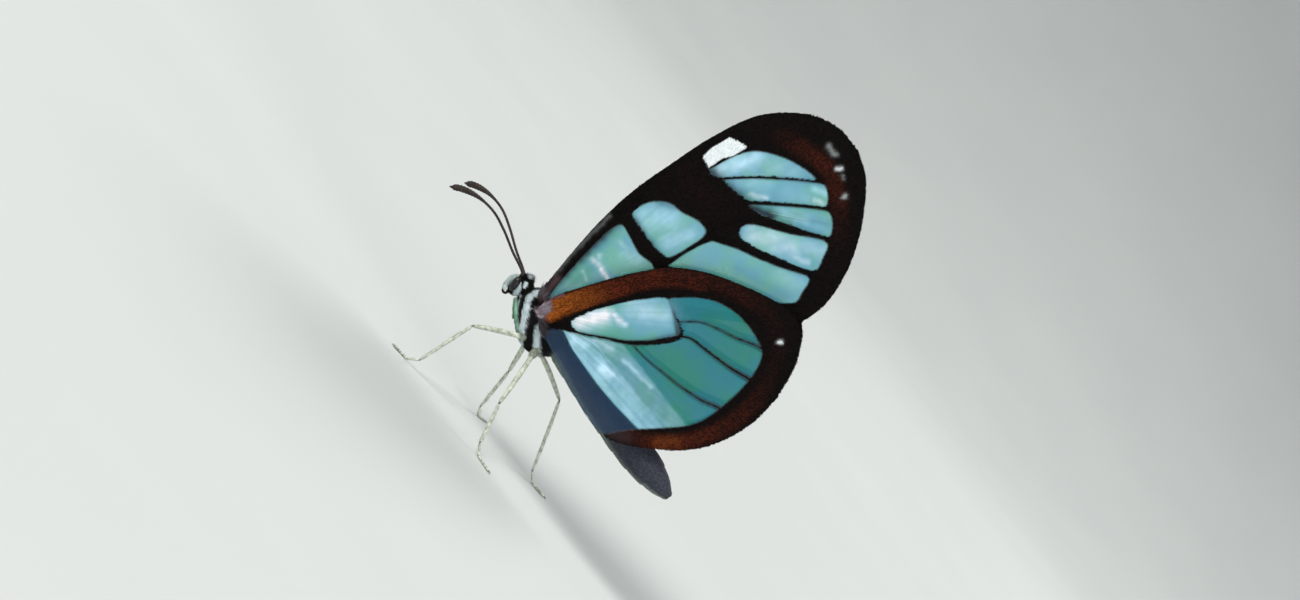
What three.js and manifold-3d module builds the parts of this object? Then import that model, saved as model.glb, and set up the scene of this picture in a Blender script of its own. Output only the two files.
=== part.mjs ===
// A glasswing butterfly at life size, standing on its four walking legs with its wings closed over its back.
// Millimetres. +X runs from the head to the tail, +Y to the animal's right and +Z up, with the feet on Z = 0.
// Side-view places are [back, up] pairs from the mid point of the thorax's underside.

import * as THREE from "three";
import { mergeVertices } from "three/addons/utils/BufferGeometryUtils.js";
import Module from "manifold-3d";

const wasm = await Module();
wasm.setup();

// Driving sizes
const standHeight = 7.4; // thorax underside above the floor
const faceGap = 0.3; // clearance between parts that meet
const thinnest = 0.5; // least thickness of a membrane, leg or feeler

// Thorax: [back, mid height, half height] from the neck to the waist
const thoraxRings = [
  [-3.7, 2.9, 0.75],
  [-3.2, 2.8, 1.22],
  [-2.4, 2.65, 1.75],
  [-1.4, 2.5, 2.15],
  [-0.4, 2.45, 2.28],
  [0.5, 2.38, 2.02],
  [1.2, 2.34, 1.5],
  [1.5, 2.34, 1.12],
];
const thoraxFlatness = 0.64; // half width over half height

// Abdomen: [back, mid height, half height] from the waist to the tip
const abdomenRings = [
  [1.8, 2.3, 0.98],
  [3.4, 2.2, 1.03],
  [5.8, 2.06, 1.15],
  [8.0, 2.02, 1.3],
  [10.5, 2.0, 1.43],
  [12.8, 2.06, 1.5],
  [14.3, 2.05, 1.32],
  [15.3, 2.02, 1.05],
  [16.2, 1.98, 0.66],
  [16.8, 1.96, 0.32],
];
const abdomenFlatness = 0.84;
const abdomenSegments = 8;
const segmentStep = 0.07; // how far each ring of plates stands out over the next

// Head and what it carries
const headPlace = [-4.48, 3.15];
const headHalf = [0.62, 0.95, 1.05]; // along X, Y and Z
const eyePlace = [-4.62, 0.93, 3.02];
const eyeHalf = [0.46, 0.38, 0.68];

// Wings
const membrane = thinnest;
const veinRise = 0.12; // vein ridge above the membrane
const layer = membrane / 2 + veinRise; // half the thickness of one wing with its veins
const forewingOffset = layer + faceGap / 2; // mid surface from the mid plane
const hindwingOffset = forewingOffset + 2 * layer + faceGap;
const rootSpread = 0.7; // extra offset at the roots, where the thorax parts the wings
const rootReach = 10; // distance over which that spread closes
const rootPlace = [-1.6, 3.6];
const flankFlare = 0.45; // extra offset where the hindwings clasp the abdomen
const forewingHinge = [-2.3, 3.9];

const forewing = {
  leading: [
    [-2.9, 3.9],
    [-3.65, 7.2],
    [-4.5, 11.8],
    [-4.75, 15.5],
    [-4.55, 19.2],
    [-4.25, 22.8],
    [-3.35, 26.8],
    [-1.9, 29.1],
    [-0.3, 30.6],
    [1.7, 31.45],
    [3.8, 31.5],
  ],
  trailing: [
    [-1.8, 3.7],
    [1.2, 7.3],
    [5.0, 11.6],
    [8.6, 15.3],
    [11.2, 17.7],
    [11.95, 19.7],
    [11.95, 21.9],
    [11.1, 24.5],
    [9.6, 27.0],
    [7.95, 28.9],
    [5.9, 30.65],
    [3.8, 31.5],
  ],
  // The main veins, each from its root to where it meets the border
  veins: [
    [[-2.6, 4.2], [-3.3, 8], [-4.0, 13], [-4.1, 18], [-3.7, 23]],
    [[-2.5, 4.3], [-2.9, 9], [-3.3, 14], [-2.9, 18.5], [-1.9, 22.6], [-0.9, 26], [0.9, 29.6]],
    [[-2.2, 4.2], [-0.9, 8.6], [1.2, 13.7], [1.9, 17.8]],
    [[1.9, 17.8], [0.6, 19.8], [-2.6, 20.2]],
    [[-1.7, 20.5], [0.9, 24.2], [4.1, 27.7], [6.2, 29.7]],
    [[0.4, 19.9], [3.2, 23.7], [6.1, 26.7], [8.2, 28.1]],
    [[1.6, 18.5], [2.5, 20.7], [5.4, 23.3], [8.0, 25.2], [10.3, 25.4]],
    [[1.9, 17.8], [4.8, 19.7], [7.0, 20.8], [9.5, 22.4], [11.5, 22.6]],
    [[1.2, 13.7], [5.4, 16.6], [9.0, 18.6], [11.4, 19.9]],
    [[-2.0, 4.1], [4.2, 11.4], [10.6, 17.8]],
  ],
  rows: 18,
  columns: 4,
};

const hindwing = {
  leading: [
    [-1.9, 3.6],
    [-1.95, 4.9],
    [-0.7, 8.4],
    [0.85, 11.9],
    [2.2, 14.1],
    [4.2, 16.0],
    [6.3, 17.35],
    [9.0, 18.75],
    [11.0, 19.35],
    [12.3, 19.15],
    [13.4, 18.2],
    [14.6, 16.6],
    [15.5, 14.4],
  ],
  trailing: [
    [-0.5, 2.5],
    [2.2, 2.0],
    [5.2, 1.35],
    [8.4, 1.05],
    [10.2, 1.65],
    [12.6, 3.7],
    [14.2, 5.5],
    [15.3, 7.6],
    [15.8, 9.7],
    [15.9, 11.8],
    [15.5, 14.4],
  ],
  veins: [
    [[-1.3, 3.6], [-0.9, 6.2], [1.1, 11.0], [4.2, 14.6], [8.8, 17.3], [12.2, 17.9]],
    [[-0.9, 3.5], [0.6, 5.6], [2.0, 9.2], [3.9, 12.1], [8.2, 15.4], [12.8, 16.6]],
    [[3.9, 12.1], [5.6, 11.5], [6.9, 11.1]],
    [[-0.7, 3.4], [1.6, 4.8], [3.2, 6.2], [5.1, 7.9], [6.9, 11.1]],
    [[5.6, 11.5], [7.0, 13.3], [9.2, 14.4], [11.5, 15.6], [13.8, 16.0]],
    [[6.9, 11.1], [9.5, 11.9], [13.1, 13.4], [15.0, 13.8]],
    [[5.1, 7.9], [9.0, 8.4], [13.8, 9.8], [15.4, 10.1]],
    [[3.2, 6.2], [6.9, 6.1], [11.0, 6.3], [14.3, 6.7]],
    [[-0.5, 3.2], [2.0, 3.8], [7.0, 3.6], [11.6, 3.7]],
  ],
  rows: 18,
  columns: 4,
};

const veinHalfWidth = [0.34, 0.2]; // at the root and at the border

// Legs: each is a list of [back, out, up] places from the hip to the claws, with the radius there
const legRadius = { hip: 0.36, knee: 0.3, ankle: 0.26, foot: 0.25 };
const soleHeight = 0.19; // centre of the tarsus above the floor, so that its underside is a flat
const legs = {
  midleg_left: {
    side: -1,
    joints: [
      [-0.7, 0.75, 0.6, "hip"],
      [-4.15, 2.9, -1.6, "knee"],
      [-4.6, 4.0, -5.9, "ankle"],
      [-4.85, 4.3, "sole", "foot"],
      [-6.7, 4.9, "sole", "foot"],
    ],
  },
  midleg_right: {
    side: 1,
    joints: [
      [-0.7, 0.75, 0.6, "hip"],
      [0.5, 3.2, -2.6, "knee"],
      [1.3, 4.4, -6.0, "ankle"],
      [1.5, 4.7, "sole", "foot"],
      [2.6, 5.9, "sole", "foot"],
    ],
  },
  hindleg_left: {
    side: -1,
    joints: [
      [0.55, 0.75, 0.65, "hip"],
      [2.15, 3.6, -3.7, "knee"],
      [3.6, 5.3, -6.2, "ankle"],
      [3.95, 5.6, "sole", "foot"],
      [5.9, 6.2, "sole", "foot"],
    ],
  },
  hindleg_right: {
    side: 1,
    joints: [
      [0.55, 0.75, 0.65, "hip"],
      [5.0, 2.9, -0.7, "knee"],
      [8.2, 5.0, -6.1, "ankle"],
      [8.6, 5.2, "sole", "foot"],
      [10.6, 5.7, "sole", "foot"],
    ],
  },
};

// The short forelegs are folded against the front of the thorax.
const forelegJoints = [
  [-2.2, 0.75, 1.3, 0.3],
  [-3.5, 1.25, 1.15, 0.28],
  [-4.25, 1.0, 1.55, 0.25],
  [-4.05, 0.75, 0.75, 0.25],
  [-3.3, 0.6, 0.35, 0.2],
];

// Antennae and mouthparts, as [back, out, up, radius]
const antennaJoints = [
  [-4.95, 0.36, 3.85, 0.26],
  [-6.9, 1.0, 4.45, 0.25],
  [-8.8, 1.7, 5.1, 0.25],
  [-10.4, 2.35, 5.45, 0.28],
  [-12.0, 3.0, 5.3, 0.36],
  [-13.3, 3.5, 4.75, 0.38],
  [-14.1, 3.85, 4.1, 0.24],
];
const palpJoints = [
  [-4.9, 0.62, 2.05, 0.27],
  [-5.3, 0.62, 2.25, 0.27],
  [-5.48, 0.58, 2.85, 0.27],
  [-5.42, 0.5, 3.45, 0.22],
];
const coilRoot = [-4.85, 2.2];
const coilCentre = [-5.0, 1.05];
const coilRadius = [0.5, 0.42]; // of the strand's centre, from its root to its tip
const coilTurns = 0.68;
const coilStrand = thinnest / 2;

const colours = {
  darkScales: 0x1c1413,
  abdomen: 0x3a3036,
  eye: 0x120f10,
  wing: 0x9fb6bb,
  legs: 0xb9b8a6,
  antenna: 0x17120f,
};

// A solid from a closed three.js geometry
function solid(geometry) {
  const bare = geometry.index ? geometry.toNonIndexed() : geometry.clone();
  bare.deleteAttribute("normal");
  bare.deleteAttribute("uv");
  const merged = mergeVertices(bare, 1e-4);
  return new wasm.Manifold(
    new wasm.Mesh({
      numProp: 3,
      vertProperties: merged.attributes.position.array,
      triVerts: new Uint32Array(merged.index.array),
    }),
  );
}

// The largest closed surface of a solid, as a geometry
function geometryOf(shape) {
  const pieces = shape.decompose();
  pieces.sort((a, b) => b.volume() - a.volume());
  const made = pieces[0].getMesh();
  const geometry = new THREE.BufferGeometry();
  geometry.setAttribute("position", new THREE.BufferAttribute(new Float32Array(made.vertProperties), 3));
  geometry.setIndex(new THREE.BufferAttribute(new Uint32Array(made.triVerts), 1));
  return geometry;
}

// A closed body through rings of points, all with as many points, and flat at both ends
function skinRings(rings) {
  const sides = rings[0].length;
  const positions = rings.flat().flatMap((p) => [p.x, p.y, p.z]);
  const triangles = [];
  for (let ring = 0; ring + 1 < rings.length; ring++) {
    for (let k = 0; k < sides; k++) {
      const next = (k + 1) % sides;
      const a = ring * sides + k;
      const b = ring * sides + next;
      triangles.push(a, b, b + sides, a, b + sides, a + sides);
    }
  }
  const last = (rings.length - 1) * sides;
  for (let k = 1; k + 1 < sides; k++) {
    triangles.push(0, k + 1, k);
    triangles.push(last, last + k, last + k + 1);
  }
  const geometry = new THREE.BufferGeometry();
  geometry.setAttribute("position", new THREE.Float32BufferAttribute(positions, 3));
  geometry.setIndex(triangles);
  return solid(geometry);
}

// A round body along X through [back, mid height, half height] rings, grown by a clearance
function barrel(rings, flatness, sides, grow = 0) {
  const ends = [0, rings.length - 1];
  return skinRings(
    rings.map(([back, mid, half], index) => {
      const push = ends.includes(index) ? (index === 0 ? -grow : grow) : 0;
      return Array.from({ length: sides }, (unused, k) => {
        const turn = (2 * Math.PI * k) / sides;
        return new THREE.Vector3(
          back + push,
          Math.cos(turn) * (half * flatness + grow),
          mid + Math.sin(turn) * (half + grow),
        );
      });
    }),
  );
}

// An ellipsoid, grown by a clearance
function ellipsoid(centre, half, grow = 0, around = 16, up = 10) {
  const geometry = new THREE.SphereGeometry(1, around, up);
  geometry.scale(half[0] + grow, half[1] + grow, half[2] + grow);
  geometry.translate(...centre);
  return solid(geometry);
}

// A tapered tube through [x, y, z, radius] joints, rounded at each bend by short steps
function limb(joints, sides = 8, stepsPerSpan = 2, tension = 0.35) {
  const path = new THREE.CatmullRomCurve3(
    joints.map(([x, y, z]) => new THREE.Vector3(x, y, z)),
    false,
    "catmullrom",
    tension,
  );
  const spans = joints.length - 1;
  const steps = spans * stepsPerSpan;
  const rings = [];
  let across = new THREE.Vector3(0, 1, 0);
  for (let step = 0; step <= steps; step++) {
    const along = step / steps;
    const at = path.getPoint(along);
    const heading = path.getTangent(along);
    across = across.clone().addScaledVector(heading, -across.dot(heading)).normalize();
    const third = new THREE.Vector3().crossVectors(heading, across);
    const span = Math.min(Math.floor(along * spans), spans - 1);
    const share = along * spans - span;
    const radius = THREE.MathUtils.lerp(joints[span][3], joints[span + 1][3], share);
    rings.push(
      Array.from({ length: sides }, (unused, k) => {
        const turn = (2 * Math.PI * (k + 0.5)) / sides;
        return at
          .clone()
          .addScaledVector(across, Math.cos(turn) * radius)
          .addScaledVector(third, Math.sin(turn) * radius);
      }),
    );
  }
  return skinRings(rings);
}

const thoraxSolid = (grow) => barrel(thoraxRings, thoraxFlatness, 20, grow);

// Each ring of abdomen plates is widest at its rear edge and steps in to the next.
function segmentedRings() {
  const first = abdomenRings[0][0];
  const last = abdomenRings.at(-1)[0];
  const curve = new THREE.CatmullRomCurve3(abdomenRings.map((r) => new THREE.Vector3(...r)));
  const samples = curve.getPoints(200);
  const at = (back) => samples.find((p) => p.x >= back - 1e-6) ?? samples.at(-1);
  const rings = [];
  for (let segment = 0; segment < abdomenSegments; segment++) {
    const length = (last - first) / abdomenSegments;
    const start = first + segment * length;
    for (const [share, step] of [[0, -1], [0.45, 0], [0.93, 0.6]]) {
      const place = at(start + share * length);
      rings.push([place.x, place.y, place.z + step * segmentStep]);
    }
  }
  rings.push(abdomenRings.at(-1));
  return rings;
}

const abdomenSolid = (grow) => barrel(segmentedRings(), abdomenFlatness, 16, grow);

const headCentre = [headPlace[0], 0, headPlace[1]];
const eyeCentre = (side) => [eyePlace[0], side * eyePlace[1], eyePlace[2]];

function headSolid() {
  let head = ellipsoid(headCentre, headHalf, 0, 20, 12);
  for (const side of [-1, 1]) head = head.subtract(ellipsoid(eyeCentre(side), eyeHalf, faceGap));
  return head.subtract(thoraxSolid(faceGap));
}

// How far a wing's mid surface stands from the animal's mid plane
function wingOffset(layerOffset, flare, back, up) {
  const fromRoot = Math.hypot(back - rootPlace[0], up - rootPlace[1]);
  const spread = rootSpread * (1 - THREE.MathUtils.smoothstep(fromRoot, 0, rootReach));
  const low = 1 - THREE.MathUtils.smoothstep(up, 2.4, 5.2);
  const aft = THREE.MathUtils.smoothstep(back, 0.5, 4);
  return layerOffset + spread + flare * low * aft;
}

const flatCurve = (points) =>
  new THREE.CatmullRomCurve3(
    points.map(([back, up]) => new THREE.Vector3(back, up, 0)),
    false,
    "centripetal",
  );

// The membrane: chords from the leading to the trailing edge, with the same triangles on both faces
function membranePlate(wing, offsetAt, side) {
  const leading = flatCurve(wing.leading);
  const trailing = flatCurve(wing.trailing);
  const faces = [-1, 1].map((face) => {
    const points = [];
    for (let row = 0; row < wing.rows; row++) {
      const along = row / wing.rows;
      const start = leading.getPointAt(along);
      const end = trailing.getPointAt(along);
      for (let column = 0; column <= wing.columns; column++) {
        const place = start.clone().lerp(end, column / wing.columns);
        points.push([place.x, side * offsetAt(place.x, place.y) + (face * membrane) / 2, place.y]);
      }
    }
    const [back, up] = wing.leading.at(-1);
    points.push([back, side * offsetAt(back, up) + (face * membrane) / 2, up]);
    return points;
  });
  const width = wing.columns + 1;
  const faceSize = faces[0].length;
  const tip = faceSize - 1;
  const triangles = [];
  const pair = (a, b, c) => {
    triangles.push(a, c, b);
    triangles.push(a + faceSize, b + faceSize, c + faceSize);
  };
  for (let row = 0; row + 1 < wing.rows; row++) {
    for (let column = 0; column < wing.columns; column++) {
      const a = row * width + column;
      pair(a, a + width, a + width + 1);
      pair(a, a + width + 1, a + 1);
    }
  }
  const lastRow = (wing.rows - 1) * width;
  for (let column = 0; column < wing.columns; column++) pair(lastRow + column, tip, lastRow + column + 1);
  const rim = [];
  for (let column = wing.columns; column >= 0; column--) rim.push(column);
  for (let row = 1; row < wing.rows; row++) rim.push(row * width);
  rim.push(tip);
  for (let row = wing.rows - 1; row > 0; row--) rim.push(row * width + wing.columns);
  rim.forEach((a, k) => {
    const b = rim[(k + 1) % rim.length];
    triangles.push(a, b, b + faceSize, a, b + faceSize, a + faceSize);
  });
  const geometry = new THREE.BufferGeometry();
  geometry.setAttribute("position", new THREE.Float32BufferAttribute(faces.flat(2), 3));
  geometry.setIndex(triangles);
  return solid(geometry);
}

// A vein: a ridge of diamond section, raised from both faces of the membrane
function veinRidge(places, offsetAt, side) {
  const curve = flatCurve(places);
  const steps = Math.max(2, Math.round(curve.getLength() / 4));
  const rings = [];
  for (let step = 0; step <= steps; step++) {
    const along = step / steps;
    const at = curve.getPointAt(along);
    const heading = curve.getTangentAt(along);
    const half = THREE.MathUtils.lerp(...veinHalfWidth, along);
    const mid = side * offsetAt(at.x, at.y);
    rings.push([
      new THREE.Vector3(at.x, mid + layer, at.y),
      new THREE.Vector3(at.x - heading.y * half, mid, at.y + heading.x * half),
      new THREE.Vector3(at.x, mid - layer, at.y),
      new THREE.Vector3(at.x + heading.y * half, mid, at.y - heading.x * half),
    ]);
  }
  return skinRings(rings);
}

function wingSolid(wing, offsetAt, side, root) {
  const ridges = wing.veins.map((places) => veinRidge(places, offsetAt, side));
  const whole = wasm.Manifold.union([membranePlate(wing, offsetAt, side), ...ridges, root]);
  return whole.subtract(thoraxSolid(faceGap));
}

const forewingOffsetAt = (back, up) => wingOffset(forewingOffset, 0, back, up);
const hindwingOffsetAt = (back, up) => wingOffset(hindwingOffset, flankFlare, back, up);

// The thick root of a forewing, on the shoulder of the thorax
function forewingRoot(side) {
  const at = (back, up, radius) => [back, side * forewingOffsetAt(back, up), up, radius];
  return limb([at(...forewingHinge, 0.5), at(-2.7, 5.4, 0.42), at(-3.1, 7.4, 0.3)], 8, 2);
}

// The root of a hindwing reaches in from the outer layer to the side of the thorax.
function hindwingRoot(side) {
  const joints = [
    [-0.75, side * 0.9, 3.0, 0.5],
    [-0.85, side * hindwingOffsetAt(-0.85, 3.4), 3.45, 0.5],
    [-0.5, side * hindwingOffsetAt(-0.5, 5.2), 5.2, 0.3],
  ];
  return limb(joints, 8, 3);
}

// Everything below the floor
function floorBlock() {
  const block = new THREE.BoxGeometry(80, 80, 10);
  block.translate(0, 0, -standHeight - 5);
  return solid(block);
}

function walkingLeg({ side, joints }) {
  const path = joints.map(([back, out, up, joint]) => [
    back,
    side * out,
    up === "sole" ? soleHeight - standHeight : up,
    legRadius[joint],
  ]);
  return limb(path, 8, 2, 0.3).subtract(floorBlock()).subtract(thoraxSolid(faceGap));
}

const mirrored = (joints, side) => joints.map(([back, out, up, radius]) => [back, side * out, up, radius]);

function palpSolid(side) {
  return limb(mirrored(palpJoints, side)).subtract(ellipsoid(headCentre, headHalf, faceGap, 20, 12));
}

function antennaSolid(side) {
  return limb(mirrored(antennaJoints, side)).subtract(ellipsoid(headCentre, headHalf, faceGap, 20, 12));
}

function forelegSolid(side) {
  return limb(mirrored(forelegJoints, side), 8, 3, 0.5).subtract(thoraxSolid(faceGap));
}

// The proboscis hangs from under the face and rolls up into a flat coil.
function proboscisSolid() {
  const steps = 10;
  const joints = [[coilRoot[0], 0, coilRoot[1], coilStrand]];
  for (let step = 0; step <= steps; step++) {
    const share = step / steps;
    const turn = Math.PI / 2 + 2 * Math.PI * coilTurns * share;
    const radius = THREE.MathUtils.lerp(...coilRadius, share);
    joints.push([
      coilCentre[0] - Math.cos(turn) * radius,
      0,
      coilCentre[1] + Math.sin(turn) * radius,
      coilStrand,
    ]);
  }
  return limb(joints, 6, 1).subtract(ellipsoid(headCentre, headHalf, faceGap, 20, 12));
}

function material(colour, roughness) {
  return new THREE.MeshStandardMaterial({ color: colour, roughness, metalness: 0 });
}

const animal = new THREE.Group();

function addPart(name, shape, colour, roughness) {
  const mesh = new THREE.Mesh(geometryOf(shape), material(colour, roughness));
  mesh.name = name;
  animal.add(mesh);
}

addPart("thorax", thoraxSolid(0), colours.darkScales, 0.8);
addPart("abdomen", abdomenSolid(0), colours.abdomen, 0.8);
addPart("head", headSolid(), colours.darkScales, 0.8);
addPart("proboscis", proboscisSolid(), colours.antenna, 0.5);
for (const [word, side] of [["left", -1], ["right", 1]]) {
  addPart(`eye_${word}`, ellipsoid(eyeCentre(side), eyeHalf), colours.eye, 0.2);
  addPart(`antenna_${word}`, antennaSolid(side), colours.antenna, 0.6);
  addPart(`palp_${word}`, palpSolid(side), colours.legs, 0.8);
  addPart(`foreleg_${word}`, forelegSolid(side), colours.legs, 0.7);
  const forewingSolid = wingSolid(forewing, forewingOffsetAt, side, forewingRoot(side));
  addPart(`forewing_${word}`, forewingSolid, colours.wing, 0.3);
  const hindwingSolid = wingSolid(hindwing, hindwingOffsetAt, side, hindwingRoot(side));
  addPart(`hindwing_${word}`, hindwingSolid, colours.wing, 0.3);
}
for (const [name, leg] of Object.entries(legs)) addPart(name, walkingLeg(leg), colours.legs, 0.7);

// The origin is on the floor, under the middle of the whole animal.
const middle = new THREE.Box3().setFromObject(animal).getCenter(new THREE.Vector3());
animal.position.set(-middle.x, -middle.y, standHeight);
const butterfly = new THREE.Group();
butterfly.add(animal);

export default butterfly;
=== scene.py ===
import math

import bpy
import numpy as np
from mathutils import Matrix, Vector


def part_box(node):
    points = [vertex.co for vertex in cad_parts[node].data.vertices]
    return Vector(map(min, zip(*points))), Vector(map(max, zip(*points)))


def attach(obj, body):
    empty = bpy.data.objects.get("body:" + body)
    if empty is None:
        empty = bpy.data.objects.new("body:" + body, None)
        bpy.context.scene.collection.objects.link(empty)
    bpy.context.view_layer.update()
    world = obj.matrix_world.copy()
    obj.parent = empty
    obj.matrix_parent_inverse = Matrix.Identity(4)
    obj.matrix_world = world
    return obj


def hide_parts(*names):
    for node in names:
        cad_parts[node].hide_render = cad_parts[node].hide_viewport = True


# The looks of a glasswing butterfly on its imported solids.
# Sizes are in millimetres. A side-view place is (back, up) from the mid point of the thorax's underside.

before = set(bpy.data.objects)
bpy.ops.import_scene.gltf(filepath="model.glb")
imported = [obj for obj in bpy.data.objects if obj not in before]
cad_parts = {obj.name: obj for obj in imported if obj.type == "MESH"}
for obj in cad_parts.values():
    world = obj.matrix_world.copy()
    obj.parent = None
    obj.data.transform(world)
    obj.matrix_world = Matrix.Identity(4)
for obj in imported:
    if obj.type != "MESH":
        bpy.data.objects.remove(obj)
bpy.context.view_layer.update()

MM = 0.001
STAND_HEIGHT = 7.4
THORAX_FRONT = -3.7
SIDES = {"left": -1, "right": 1}

thorax_low, thorax_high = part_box("thorax")
ORIGIN = np.array([
    thorax_low[0] / MM - THORAX_FRONT,
    (thorax_low[1] + thorax_high[1]) / 2 / MM,
    STAND_HEIGHT,
])
BAKE_PATCH = 0.003
random = np.random.default_rng(7)


# Frame and curve helpers

def to_frame(points):
    """Points as [back, out, up] in millimetres, in the frame's metres."""
    return (np.asarray(points, float) + ORIGIN) * MM


def mirrored(points, side):
    return np.asarray(points, float) * [1, side, 1]


def side_on(flat, out):
    """Side-view places with how far out each is, as points."""
    return np.stack([flat[:, 0], np.broadcast_to(out, len(flat)), flat[:, 1]], axis=1)


def unit(vectors):
    return vectors / np.linalg.norm(vectors, axis=-1, keepdims=True)


def along_surface(vectors, outward):
    """Directions laid flat on the surface."""
    return unit(vectors - outward * np.sum(vectors * outward, axis=1)[:, None])


def steps_of(count):
    return np.linspace(0, 1, count)


def run_along(points, power=1.0):
    """How far along a path each of its points is."""
    return np.concatenate([[0], np.cumsum(np.linalg.norm(np.diff(points, axis=0), axis=1) ** power)])


def blend(t, low, high, first, second):
    return (high - t) / (high - low) * first + (t - low) / (high - low) * second


def catmull_rom(points, per_span=24):
    """A smooth centripetal curve through points of any dimension."""
    given = np.asarray(points, float)
    held = np.vstack([2 * given[0] - given[1], given, 2 * given[-1] - given[-2]])
    knots = run_along(held, 0.5)
    pieces = []
    for i in range(1, len(held) - 2):
        t = np.linspace(knots[i], knots[i + 1], per_span, endpoint=False)[:, None]
        row = list(held[i - 1:i + 3])
        at = knots[i - 1:i + 3]
        row = [blend(t, at[k], at[k + 1], row[k], row[k + 1]) for k in range(3)]
        row = [blend(t, at[k], at[k + 2], row[k], row[k + 1]) for k in range(2)]
        pieces.append(blend(t, at[1], at[2], *row))
    return np.vstack(pieces + [given[-1:]])


def evenly(points, count):
    """count points at equal steps along the smooth curve through points."""
    curve = catmull_rom(points)
    run = run_along(curve[:, :3])
    wanted = np.linspace(0, run[-1], count)
    return np.stack([np.interp(wanted, run, column) for column in curve.T], axis=1)


def smoothstep(value, low, high):
    share = np.clip((np.asarray(value, float) - low) / (high - low), 0, 1)
    return share * share * (3 - 2 * share)


def path_distance(points, path):
    """Distance of each point from a polyline, and how far along the polyline its nearest place is."""
    path = np.asarray(path, float)
    best = np.full(len(points), np.inf)
    where = np.zeros(len(points))
    for i, (start, step) in enumerate(zip(path, np.diff(path, axis=0))):
        share = np.clip(((points - start) @ step) / max(step @ step, 1e-12), 0, 1)
        gap = np.linalg.norm(points - start - share[:, None] * step, axis=1)
        nearer = gap < best
        best[nearer] = gap[nearer]
        where[nearer] = (i + share[nearer]) / (len(path) - 1)
    return best, where


def inside_distance(points, loop):
    """Signed distance to a closed outline: above zero inside it."""
    closed = np.vstack([loop, loop[:1]])
    gap, _ = path_distance(points, closed)
    inside = np.zeros(len(points), bool)
    for (x0, y0), (x1, y1) in zip(closed[:-1], closed[1:]):
        if y0 == y1:
            continue
        crosses = (points[:, 1] > y0) != (points[:, 1] > y1)
        at = x0 + (points[:, 1] - y0) * (x1 - x0) / (y1 - y0)
        inside ^= crosses & (points[:, 0] < at)
    return np.where(inside, gap, -gap)


def rounded_loop(points):
    """A closed outline with its corners rounded."""
    given = np.asarray(points, float)
    per_span = 5
    curve = catmull_rom(np.vstack([given[-1:], given, given[:2]]), per_span)
    return curve[per_span:-per_span]


# Mesh helpers

class Parts:
    """Points, faces and per-point values gathered into one mesh."""

    def __init__(self):
        self.points = []
        self.faces = []
        self.values = {}
        self.count = 0

    def add(self, points, faces, **values):
        self.points.append(np.asarray(points, float))
        start = self.count
        self.faces.extend([tuple(int(v) + start for v in face) for face in faces])
        for key in {**self.values, **values}:
            held = self.values.setdefault(key, [np.zeros(start)])
            held.append(np.broadcast_to(np.asarray(values.get(key, 0.0), float), (len(points),)))
        self.count += len(points)

    def make(self, name, slot, look, replaced=(), smooth=True):
        """The piece, riding with the body."""
        mesh = bpy.data.meshes.new(name)
        mesh.from_pydata(to_frame(np.vstack(self.points)).tolist(), [], self.faces)
        for key, held in self.values.items():
            layer = mesh.attributes.new(key, "FLOAT", "POINT")
            layer.data.foreach_set("value", np.concatenate(held).astype(np.float32))
        mesh.polygons.foreach_set("use_smooth", [smooth] * len(mesh.polygons))
        mesh.materials.append(look)
        mesh.update()
        piece = bpy.data.objects.new(name, mesh)
        bpy.context.collection.objects.link(piece)
        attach(piece, "root")
        if replaced:
            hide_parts(*replaced)
        return piece


class Coat(Parts):
    """Scales or hairs in one piece, each with its values and its root's place on the unwrapped skin."""

    def __init__(self):
        super().__init__()
        self.places = []
        self.owners = []

    def grow(self, built, places, **values):
        points, faces, owner = built
        count = len(places)
        spread = {key: np.broadcast_to(value, (count,))[owner] for key, value in values.items()}
        self.add(points, faces, **spread)
        self.owners.append(owner + sum(map(len, self.places)))
        self.places.append(places)

    def make(self, name, slot, look):
        """The piece, with the bake's map: each scale or hair is a small patch at its root's place."""
        piece = super().make(name, slot, look, smooth=False)
        mesh = piece.data
        corners = np.zeros(len(mesh.loops), np.int32)
        mesh.loops.foreach_get("vertex_index", corners)
        own = np.concatenate(self.owners)[corners]
        spread = np.stack([np.cos(corners * 2.4), np.sin(corners * 2.4)], axis=1) * BAKE_PATCH / 2
        spots = np.clip(np.vstack(self.places)[own] + spread, 0.001, 0.999)
        layer = mesh.uv_layers.new(name="OFBake")
        layer.data.foreach_set("uv", spots.astype(np.float32).ravel())
        return piece


def tube_rings(path, radii, sides):
    """Points of a round tube along a path, and its faces with both ends closed."""
    path = np.asarray(path, float)
    radii = np.broadcast_to(radii, (len(path),))
    across = np.array([0.0, 1.0, 0.0])
    turns = 2 * np.pi * (np.arange(sides) + 0.5) / sides
    points = []
    for at, ahead, radius in zip(path, unit(np.gradient(path, axis=0)), radii):
        across = unit(across - ahead * (across @ ahead))
        third = np.cross(ahead, across)
        points.append(at + radius * (np.outer(np.cos(turns), across) + np.outer(np.sin(turns), third)))
    return np.vstack(points), ring_faces(len(path), sides)


def ring_faces(rings, sides):
    """Quads between rings of points, with a fan over each end ring."""
    faces = []
    for ring in range(rings - 1):
        for k in range(sides):
            a = ring * sides + k
            b = ring * sides + (k + 1) % sides
            faces.append((a, b, b + sides, a + sides))
    faces.append(tuple(range(sides - 1, -1, -1)))
    last = (rings - 1) * sides
    faces.append(tuple(range(last, last + sides)))
    return faces


def many_forms(corners, pattern):
    """The corners and faces of many small closed forms of one pattern, and the form each point belongs to."""
    size = len(corners)
    count = len(corners[0])
    points = np.stack(corners, axis=1).reshape(-1, 3)
    faces = [tuple(start + v for v in face) for start in range(0, count * size, size) for face in pattern]
    return points, faces, np.repeat(np.arange(count), size)


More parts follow.
